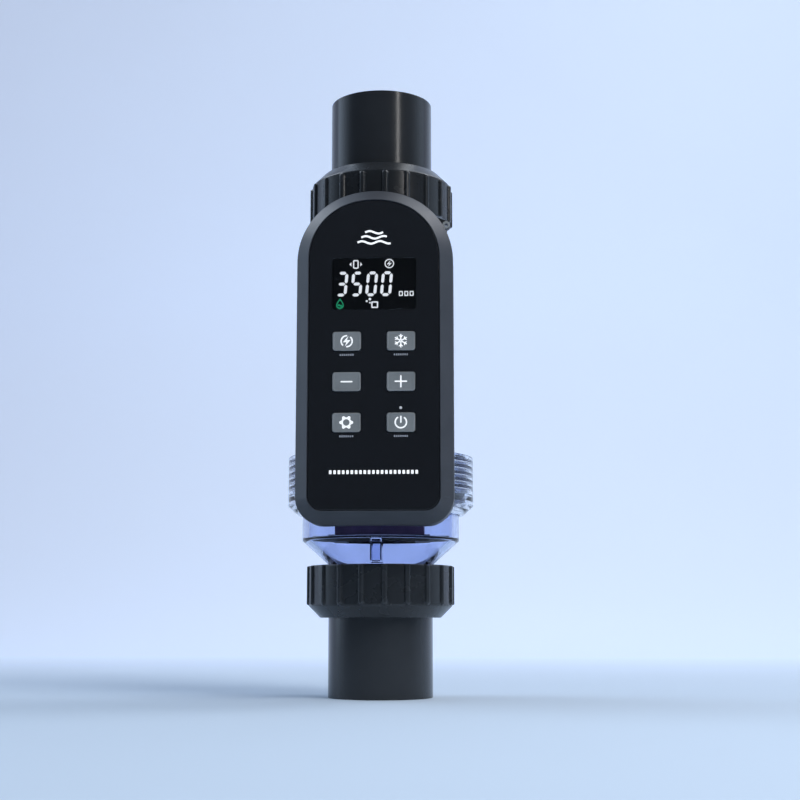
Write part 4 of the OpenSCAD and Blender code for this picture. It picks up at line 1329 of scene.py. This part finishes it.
class SALT_CELL_OT_make_display(Operator):
    """Lights the display: four leaning seven-segment digits and the signs round them"""

    bl_idname = "salt_cell.make_display"
    bl_label = "Display"

    lit = {
        "0": "abcdef", "1": "bc", "2": "abged", "3": "abgcd", "4": "fgbc",
        "5": "afgcd", "6": "afgedc", "7": "abc", "8": "abcdefg", "9": "abcdfg",
    }

    def execute(self, context):
        box = context.scene.salt_controller
        settle_refined(0.2 * MM, "display_module")
        lean = math.tan(box.digit_slant)
        height, width, thick, gap = 14.6 * MM, 6.4 * MM, 1.7 * MM, 0.75 * MM
        middle_z, pitch, first = WINDOW_LOW.z + 15.3 * MM, 8.6 * MM, -18.6 * MM
        back, front = DISPLAY_Y, DISPLAY_Y - 0.15 * MM
        across, up = [], []
        for index, digit in enumerate(f"{box.reading:04d}"):
            x = first + index * pitch
            half_w, half_h = (width - thick) / 2, (height - thick) / 2
            where = {
                "a": (x, half_h), "g": (x, 0), "d": (x, -half_h),
                "f": (x - half_w, half_h / 2), "b": (x + half_w, half_h / 2),
                "e": (x - half_w, -half_h / 2), "c": (x + half_w, -half_h / 2),
            }
            for segment in self.lit[digit]:
                place_x, place_z = where[segment]
                (across if segment in "agd" else up).append((place_x, 0, middle_z + place_z))
        slat = self.segment(width - thick - gap, thick, front, back)
        flat = set_out("digit_bars_level", slat, across, "display_white", lean=lean, lean_level=middle_z)
        slat = self.segment((height - thick) / 2 - gap, thick, front, back)
        quarter = [math.pi / 2] * len(up)
        tall = set_out("digit_bars_upright", slat, up, "display_white", quarter, lean, middle_z)
        digits = joined("display_digits", [flat, tall])
        attach(digits, CELL, "display_white")
        self.signs(front, back)
        return {"FINISHED"}

    def segment(self, length, thick, front, back):
        """One bar with pointed ends, centred on the origin"""
        half, point = length / 2, thick / 2
        shape = [(-half, 0), (point - half, -point), (half - point, -point), (half, 0),
                 (half - point, point), (point - half, point)]
        return sign("segment", [shape], front, back)

    def signs(self, front, back):
        """The lit signs: a turning box, a flash in a ring, a box with drops, a unit bar and a drop"""
        left, low = WINDOW_LOW.x, WINDOW_LOW.z
        box_x, box_z = left + 13.6 * MM, low + 26.9 * MM
        flash_x, flash_z = left + 33.0 * MM, low + 27.2 * MM
        tank_x, tank_z = left + 24.6 * MM, low + 3.0 * MM
        line = 0.55 * MM
        box = keyed_rectangle((box_x, box_z), 3.3 * MM, 5.2 * MM, 0.9 * MM)(0)
        box_hole = keyed_rectangle((box_x, box_z), 1.9 * MM, 3.8 * MM, 0.4 * MM)(0)
        tank = keyed_rectangle((tank_x, tank_z), 4.0 * MM, 3.9 * MM, 0.6 * MM)(0)
        tank_hole = keyed_rectangle((tank_x, tank_z), 2.5 * MM, 2.4 * MM, 0.2 * MM)(0)
        shapes = [(box, box_hole), (tank, tank_hole), hoop(flash_x, flash_z, 2.75 * MM, line),
                  bolt(flash_x, flash_z, 2.8 * MM)]
        for side in (-1, 1):
            tip = box_x + side * 3.7 * MM
            shapes.append([(tip, box_z), (tip - side * 1.1 * MM, box_z + 1.2 * MM),
                           (tip - side * 1.1 * MM, box_z - 1.2 * MM)][::side])
        for x, z, radius in ((-2.8, 3.3, 0.75), (-4.6, 2.1, 0.6), (-2.7, 1.2, 0.5)):
            shapes.append(circle(tank_x + x * MM, tank_z + z * MM, radius * MM, 16))
        for bar in range(3):
            x, z = left + 39.7 * MM + bar * 3.1 * MM, low + 9.4 * MM
            sizes = [(2.3 * MM - inset, 2.9 * MM - inset) for inset in (0, 2 * line)]
            shapes.append(tuple(
                [(x + u, z + v) for u, v in rounded_rectangle(width, height, 0.4 * MM, 3)]
                for width, height in sizes
            ))
        attach(sign("display_signs", shapes, front, back), CELL, "display_white")
        drop_x, drop_z = left + 4.5 * MM, low + 3.8 * MM
        outer = drop(drop_x, drop_z, 3.0 * MM)
        inner = drop(drop_x, drop_z - 0.12 * MM, 2.2 * MM)
        wave = stroke(ripple(drop_x, drop_z - 1.1 * MM, 1.25 * MM, 0.25 * MM, 8, 1), 0.9 * MM)
        drop_sign = sign("display_drop", [(outer, inner), wave], front, back)
        attach(drop_sign, CELL, "display_green")


class SALT_CELL_OT_make_keys(Operator):
    """Presses the six key caps and prints a plain sign on each"""

    bl_idname = "salt_cell.make_keys"
    bl_label = "Keys"

    def execute(self, context):
        for name in KEYS:
            low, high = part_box(f"key_{name}")
            width = high.x - low.x - 2 * KEY_FLANGE
            height = high.z - low.z - 2 * KEY_FLANGE
            middle = middle_of(low, high)
            flange_y = high.y - 1.3 * MM
            section = fillet([
                (KEY_FLANGE - 2 * MM, high.y - 0.3 * MM, 0), (KEY_FLANGE, high.y - 0.3 * MM, 0.2 * MM),
                (KEY_FLANGE, flange_y, 0.2 * MM), (0, flange_y, 0.1 * MM), (0, low.y, 0.3 * MM),
                (-0.9 * MM, low.y, 0.2 * MM), (-1.3 * MM, low.y + 0.12 * MM, 0.2 * MM),
                (-2.5 * MM, low.y + 0.12 * MM, 0),
            ], 4, closed=False)
            cap = pressing(f"key_{name}_cap", keyed_rectangle(middle, width, height, 1.6 * MM), section)
            stem = lathe("stem", [(0, 0), (2 * MM, 0), (2 * MM, 0.5 * MM), (0, 0.5 * MM)], 32,
                         along_y(middle[0], high.y, middle[1]))
            combine(cap, stem, "UNION")
            body = f"key_{name}"
            settle(dress(cap), body, body)
            face_y = low.y + 0.12 * MM
            shapes = self.shapes(name, *middle)
            ink = sign(f"key_{name}_sign", shapes, face_y - INK_PROUD, face_y + INK_PROUD)
            attach(ink, body, "white_ink")
        return {"FINISHED"}

    def shapes(self, name, x, z):
        """The plain sign of each key"""
        size, line = 3.6 * MM, 0.82 * MM
        if name == "boost":
            gap = 18
            curves = [arc(x, z, size - line / 2, start + gap, start + 180 - gap, 18) for start in (-112, 68)]
            return [stroke(curve, line) for curve in curves] + [bolt(x, z, size * 1.2)]
        if name == "winter":
            return snowflake(x, z, size * 1.02, line * 0.85)
        if name == "minus":
            return [pill(x - size * 0.85, z, x + size * 0.85, z, line)]
        if name == "plus":
            long = size * 0.9
            return [pill(x - long, z, x - line * 0.6, z, line), pill(x + line * 0.6, z, x + long, z, line),
                    pill(x, z - long, x, z + long, line)]
        if name == "settings":
            return [cog(x, z, size * 1.1, 6)]
        curve = arc(x, z, size * 0.9, 118, 418, 20)
        return [stroke(curve, line), pill(x, z - size * 0.02, x, z + size * 0.92, line)]


class SALT_CELL_OT_make_prints(Operator):
    """Prints a plain wave mark, a scale and a dotted line under each labelled key"""

    bl_idname = "salt_cell.make_prints"
    bl_label = "Panel Prints"

    def execute(self, context):
        front, back = PANEL_Y - INK_PROUD, PANEL_Y + INK_PROUD
        mark_z = WINDOW_HIGH.z + 12.2 * MM
        waves = []
        for line, half in enumerate((9.6 * MM, 7.4 * MM, 5.2 * MM)):
            level = mark_z + (line - 1) * 3.0 * MM
            waves.append(stroke(ripple(0, level, half, 0.75 * MM, 36, half / (2.6 * MM) / 2), 1.15 * MM))
        attach(sign("wave_mark", waves, front, back), CELL, "white_ink")
        tick = sign("tick", [rounded_rectangle(1.5 * MM, 2.2 * MM, 0.3 * MM, 3)], front, back)
        count, pitch = 21, 2.45 * MM
        start = (-(count - 1) / 2 * pitch, 0, CASE_LOW.z + 29.6 * MM)
        scale = row("panel_scale", tick, count, start, (pitch, 0, 0), "white_ink")
        attach(scale, CELL, "white_ink")
        rows = []
        for name in ("boost", "winter", "settings", "power"):
            low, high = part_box(f"key_{name}")
            dot = sign("dot", [rounded_rectangle(0.8 * MM, 1.1 * MM, 0.2 * MM, 3)], front, back)
            start = ((low.x + high.x) / 2 - 3.6 * MM, 0, low.z - 1.25 * MM)
            rows.append(row(f"label_{name}", dot, 7, start, (1.2 * MM, 0, 0), "dim_ink"))
        attach(joined("key_label_dots", rows), CELL, "dim_ink")
        return {"FINISHED"}


class SALT_CELL_OT_make_screws(Operator):
    """Sets out the case, board and pad screws"""

    bl_idname = "salt_cell.make_screws"
    bl_label = "Screws"

    def execute(self, context):
        for node, towards, head_r, head in (("shell_screws", 1, 2.8, 1.9), ("board_screws", 1, 2.7, 1.8),
                                            ("pad_screws", -1, 3.0, 2.2)):
            low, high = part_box(node)
            places = self.places(node)
            turns = [math.radians(37 * index) for index in range(len(places))]
            sample = self.screw(head_r * MM, head * MM, high.y - low.y, towards)
            seat = high.y if towards > 0 else low.y
            spots = [(x, seat, z) for x, z in places]
            piece = set_out(f"{node}_set", sample, spots, NODE_SLOT[node], turns)
            settle(dress(piece), CELL, node)
        return {"FINISHED"}

    def places(self, node):
        """The middle of each screw, from the clusters of the node's own points"""
        middles = []
        for vertex in frame["nodes"][node].data.vertices:
            spot = Vector((vertex.co.x, vertex.co.z))
            for group in middles:
                if (group[0] - spot).length < 7 * MM:
                    group.append(spot)
                    break
            else:
                middles.append([spot])
        result = []
        for group in middles:
            xs, zs = [spot.x for spot in group], [spot.y for spot in group]
            result.append(((min(xs) + max(xs)) / 2, (min(zs) + max(zs)) / 2))
        return sorted(result)

    def screw(self, head_r, head, length, towards):
        """A pan-head screw with a hexagon socket; its head's top is at the origin"""
        shank_r = 1.5 * MM
        corners = [(0, 0, 0), (head_r, 0, head * 0.55), (head_r, -head, 0.1 * MM), (shank_r, -head, 0.1 * MM)]
        level = -head - 1.2 * MM
        while level > -length + 1.6 * MM:
            corners += [(shank_r, level, 0), (shank_r - 0.28 * MM, level - 0.25 * MM, 0),
                        (shank_r, level - 0.5 * MM, 0)]
            level -= 0.7 * MM
        corners += [(shank_r * 0.9, -length + 0.6 * MM, 0), (shank_r * 0.5, -length, 0), (0, -length, 0)]
        piece = lathe("screw", fillet(corners, 4), SCREW_SEGMENTS)
        socket_r, foot, top = head_r * 0.48, -0.9 * MM, 1 * MM
        socket = lathe("socket", [(0, foot), (socket_r, foot), (socket_r, top), (0, top)], 6)
        combine(piece, socket, "DIFFERENCE")
        piece.data.transform(along_y(0, 0, 0, towards))
        return piece


class SALT_CELL_OT_make_gland(Operator):
    """Finishes the cable gland on the rear wall"""

    bl_idname = "salt_cell.make_gland"
    bl_label = "Cable Gland"

    def execute(self, context):
        settle_refined(0.35 * MM, "gland_body", "gland_insert", "gland_nut")
        return {"FINISHED"}


class SALT_CELL_OT_make_electronics(Operator):
    """Makes the board and the parts soldered on it"""

    bl_idname = "salt_cell.make_electronics"
    bl_label = "Electronics"

    def execute(self, context):
        settle_refined(0.12 * MM, "control_board")
        settle_refined(0.15 * MM, "key_switches")
        settle_refined(0.5 * MM, "relays")
        settle_refined(0.15 * MM, "heat_sink")
        settle_refined(0.3 * MM, "terminal_block")
        low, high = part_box("capacitors")
        radius = (high.z - low.z) / 2
        self.cans("capacitor_cans", "capacitors", [low.x + radius, high.x - radius], 0)
        low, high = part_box("buzzer")
        self.cans("buzzer_can", "buzzer", [(low.x + high.x) / 2], 1.2 * MM)
        board_low, board_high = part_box("control_board")
        chip = loft("chip", [[(x, y, z) for x, z in rounded_rectangle(1.6 * MM, 0.9 * MM, 0.15 * MM, 2)]
                             for y in (board_high.y, board_high.y + 0.55 * MM)])
        start = (board_low.x + 8 * MM, 0, board_low.z + 12 * MM)
        chips = row("board_chips", chip, 12, start, (4.4 * MM, 0, 0.9 * MM), "comb_plastic")
        attach(dress(chips, 0.05 * MM), CELL, "comb_plastic")
        solder = lathe("solder", fillet([
            (0, 0, 0), (0.9 * MM, 0, 0), (0.35 * MM, 0.4 * MM, 0.3 * MM), (0, 0.6 * MM, 0),
        ], 3), 16, along_y(0, board_high.y, 0, 1))
        start = (board_low.x + 6 * MM, 0, board_low.z + 24 * MM)
        joints = row("solder_joints", solder, 20, start, (2.9 * MM, 0, 0), "screw_steel")
        attach(dress(joints), CELL, "screw_steel")
        return {"FINISHED"}

    def cans(self, name, node, places, hole):
        """Round cans that stand on the board, with a crimped foot and a dished top"""
        low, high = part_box(node)
        radius, height, z = (high.z - low.z) / 2, high.y - low.y, (low.z + high.z) / 2
        corners = [
            (0, 0, 0), (radius, 0, 0.4 * MM), (radius, height * 0.16, 0.2 * MM),
            (radius - 0.35 * MM, height * 0.2, 0.2 * MM), (radius, height * 0.24, 0.2 * MM),
            (radius, height, 0.5 * MM), (radius * 0.82, height, 0.1 * MM),
            (radius * 0.8, height - 0.25 * MM, 0.1 * MM),
        ]
        if hole:
            floor = height - 1.2 * MM
            corners += [(hole, height - 0.25 * MM, 0.1 * MM), (hole, floor, 0), (0, floor, 0)]
        else:
            corners += [(0, height - 0.25 * MM, 0)]
        sample = lathe("can", fillet(corners, 4), 48, along_y(0, 0, 0, 1))
        piece = set_out(name, sample, [(x, low.y, z) for x in places], NODE_SLOT[node])
        settle(dress(piece), CELL, node)


# ---------------------------------------------------------------- studio


def lamp(name, place, aim, power, size, colour=(1, 1, 1), tall=None):
    """A soft rectangular light that faces a point"""
    light = bpy.data.lights.new(name, "AREA")
    light.energy = power
    light.color = colour
    light.shape = "RECTANGLE"
    light.size = size
    light.size_y = tall or size
    holder = bpy.data.objects.new(name, light)
    bpy.context.scene.collection.objects.link(holder)
    holder.location = place
    holder.rotation_euler = (Vector(aim) - Vector(place)).to_track_quat("-Z", "Y").to_euler()
    return holder


class SALT_CELL_OT_make_studio(Operator):
    """Lays the pale floor and sweep, and sets the lights and the camera"""

    bl_idname = "salt_cell.make_studio"
    bl_label = "Studio"

    def execute(self, context):
        scene = context.scene
        studio = scene.salt_studio
        wide, near, far, tall, bend = 3.2, -2.6, 1.55, 3.0, 0.6
        curve = [(near, 0), (far - bend, 0)]
        curve += [(far - bend + bend * math.sin(angle), bend - bend * math.cos(angle))
                  for angle in (math.pi / 2 * step / 24 for step in range(1, 25))]
        curve.append((far, tall))
        verts = [(x, y, z) for x in (-wide, wide) for y, z in curve]
        count = len(curve)
        faces = [(index, index + count, index + count + 1, index + 1) for index in range(count - 1)]
        sweep = object_from("floor_sweep", verts, faces)
        for polygon in sweep.data.polygons:
            polygon.use_smooth = True
        material, tree, principled, coords = shader("backdrop")
        slow = noise(tree, coords, 1.2)
        away = node_in(tree, "ShaderNodeSeparateXYZ", {0: coords}).outputs[1]
        # Painted light on the sweep: it glows more the further back it stands, and the floor is coloured
        # darker than the wall
        wall = remap(tree, away, (0.0, 1.2), (0.0, 1.0), smooth=True)
        plain = vary(tree, slow, studio.backdrop_colour, 0.02)
        floor = vary(tree, slow, [0.78 * channel for channel in studio.backdrop_colour], 0.02)
        blend = node_in(tree, "ShaderNodeMix", {0: wall, 6: floor, 7: plain}, data_type="RGBA")
        fill(tree, principled, {
            "Base Color": blend.outputs[2],
            "Emission Color": (0.74, 0.79, 1, 1),
            "Emission Strength": maths(tree, "MULTIPLY", wall, 0.36),
            "Roughness": 0.95,
            "Specular IOR Level": 0.1,
        })
        sweep.data.materials.append(material)
        middle = (0, 0, HEIGHT / 2)
        main = lamp("main_light", (0.75, -0.75, 1.05), middle, studio.main_power, 0.7)
        main.visible_glossy = False
        for side, tint in ((-1, (0.82, 0.9, 1)), (1, (0.95, 0.95, 1))):
            lamp("upper_light", (0.67 * side, 0.28, 1.02), middle, studio.side_power, 0.45, tint)
        warm, cool = (1, 0.98, 0.97), (0.95, 0.98, 1)
        lamp("strip_light", (0.655, -0.756, 0.72), (0, 0, 0.34), studio.strip_power, 0.07, warm, 0.5)
        lamp("backdrop_light", (0.7, 0.5, 1.8), (0.3, 1.5, 0.6), studio.main_power * 0.55, 0.9, cool)
        self.sky(scene)
        self.camera(scene)
        return {"FINISHED"}

    def sky(self, scene):
        """A pale surround that is dimmer in front of the object, so that dark fronts stay dark"""
        world = bpy.data.worlds.new("surround")
        scene.world = world
        world.use_nodes = True
        tree = world.node_tree
        shade = tree.nodes["Background"]
        coords = tree.nodes.new("ShaderNodeTexCoord").outputs["Generated"]
        split = node_in(tree, "ShaderNodeSeparateXYZ", {0: coords})
        back = remap(tree, split.outputs[1], (-0.45, 0.45), (0.05, 0.95), smooth=True)
        up = remap(tree, split.outputs[2], (0.8, 0.97), (1.0, 0.25), smooth=True)
        seen = node_in(tree, "ShaderNodeLightPath").outputs["Is Camera Ray"]
        aside = remap(tree, split.outputs[0], (-1.0, 0.6), (2.2, 1.0))
        around = maths(tree, "MULTIPLY", maths(tree, "MULTIPLY", back, up), aside)
        strength = maths(tree, "MAXIMUM", around, maths(tree, "MULTIPLY", seen, 0.9))
        fill(tree, shade, {"Strength": strength, "Color": (0.62, 0.78, 1.0, 1)})

    def camera(self, scene):
        """A low camera that looks up a little at the controller's face"""
        lens = bpy.data.cameras.new("view")
        lens.lens = CAMERA_LENS
        lens.sensor_width = 36
        lens.clip_start = 0.01
        holder = bpy.data.objects.new("view", lens)
        scene.collection.objects.link(holder)
        holder.location = CAMERA_PLACE
        holder.rotation_euler = [math.radians(angle) for angle in CAMERA_TURN]
        scene.camera = holder
        scene.view_settings.view_transform = "Standard"


# ---------------------------------------------------------------- panel and registration


class SALT_CELL_PT_sidebar(Panel):
    """Lists the settings and the pieces"""

    bl_label = "Salt Chlorine Generator"
    bl_idname = "SALT_CELL_PT_sidebar"
    bl_space_type = "VIEW_3D"
    bl_region_type = "UI"
    bl_category = "Salt Cell"

    def draw(self, context):
        layout = self.layout
        for name, group in SETTINGS.items():
            box = layout.box()
            for label in group.__annotations__:
                box.prop(getattr(context.scene, name), label)
        for operator in OPERATORS:
            layout.operator(operator.bl_idname)


SETTINGS = {
    "salt_unions": UnionSettings,
    "salt_cell": CellSettings,
    "salt_controller": ControllerSettings,
    "salt_studio": StudioSettings,
}
OPERATORS = (
    SALT_CELL_OT_make_studio,
    SALT_CELL_OT_make_pipe_ends,
    SALT_CELL_OT_make_union_nuts,
    SALT_CELL_OT_make_seals,
    SALT_CELL_OT_make_lower_housing,
    SALT_CELL_OT_make_upper_housing,
    SALT_CELL_OT_make_lock_ring,
    SALT_CELL_OT_make_electrodes,
    SALT_CELL_OT_make_flow_switch,
    SALT_CELL_OT_make_case,
    SALT_CELL_OT_make_front_panel,
    SALT_CELL_OT_make_display,
    SALT_CELL_OT_make_keys,
    SALT_CELL_OT_make_prints,
    SALT_CELL_OT_make_screws,
    SALT_CELL_OT_make_gland,
    SALT_CELL_OT_make_electronics,
)
CLASSES = (*SETTINGS.values(), *OPERATORS, SALT_CELL_PT_sidebar)


def register():
    for item in CLASSES:
        bpy.utils.register_class(item)
    for name, group in SETTINGS.items():
        setattr(bpy.types.Scene, name, PointerProperty(type=group))


def unregister():
    for name in SETTINGS:
        delattr(bpy.types.Scene, name)
    for item in reversed(CLASSES):
        bpy.utils.unregister_class(item)


def main():
    register()
    for operator in OPERATORS:
        group, name = operator.bl_idname.split(".")
        getattr(getattr(bpy.ops, group), name)()
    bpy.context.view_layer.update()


if __name__ == "__main__":
    main()
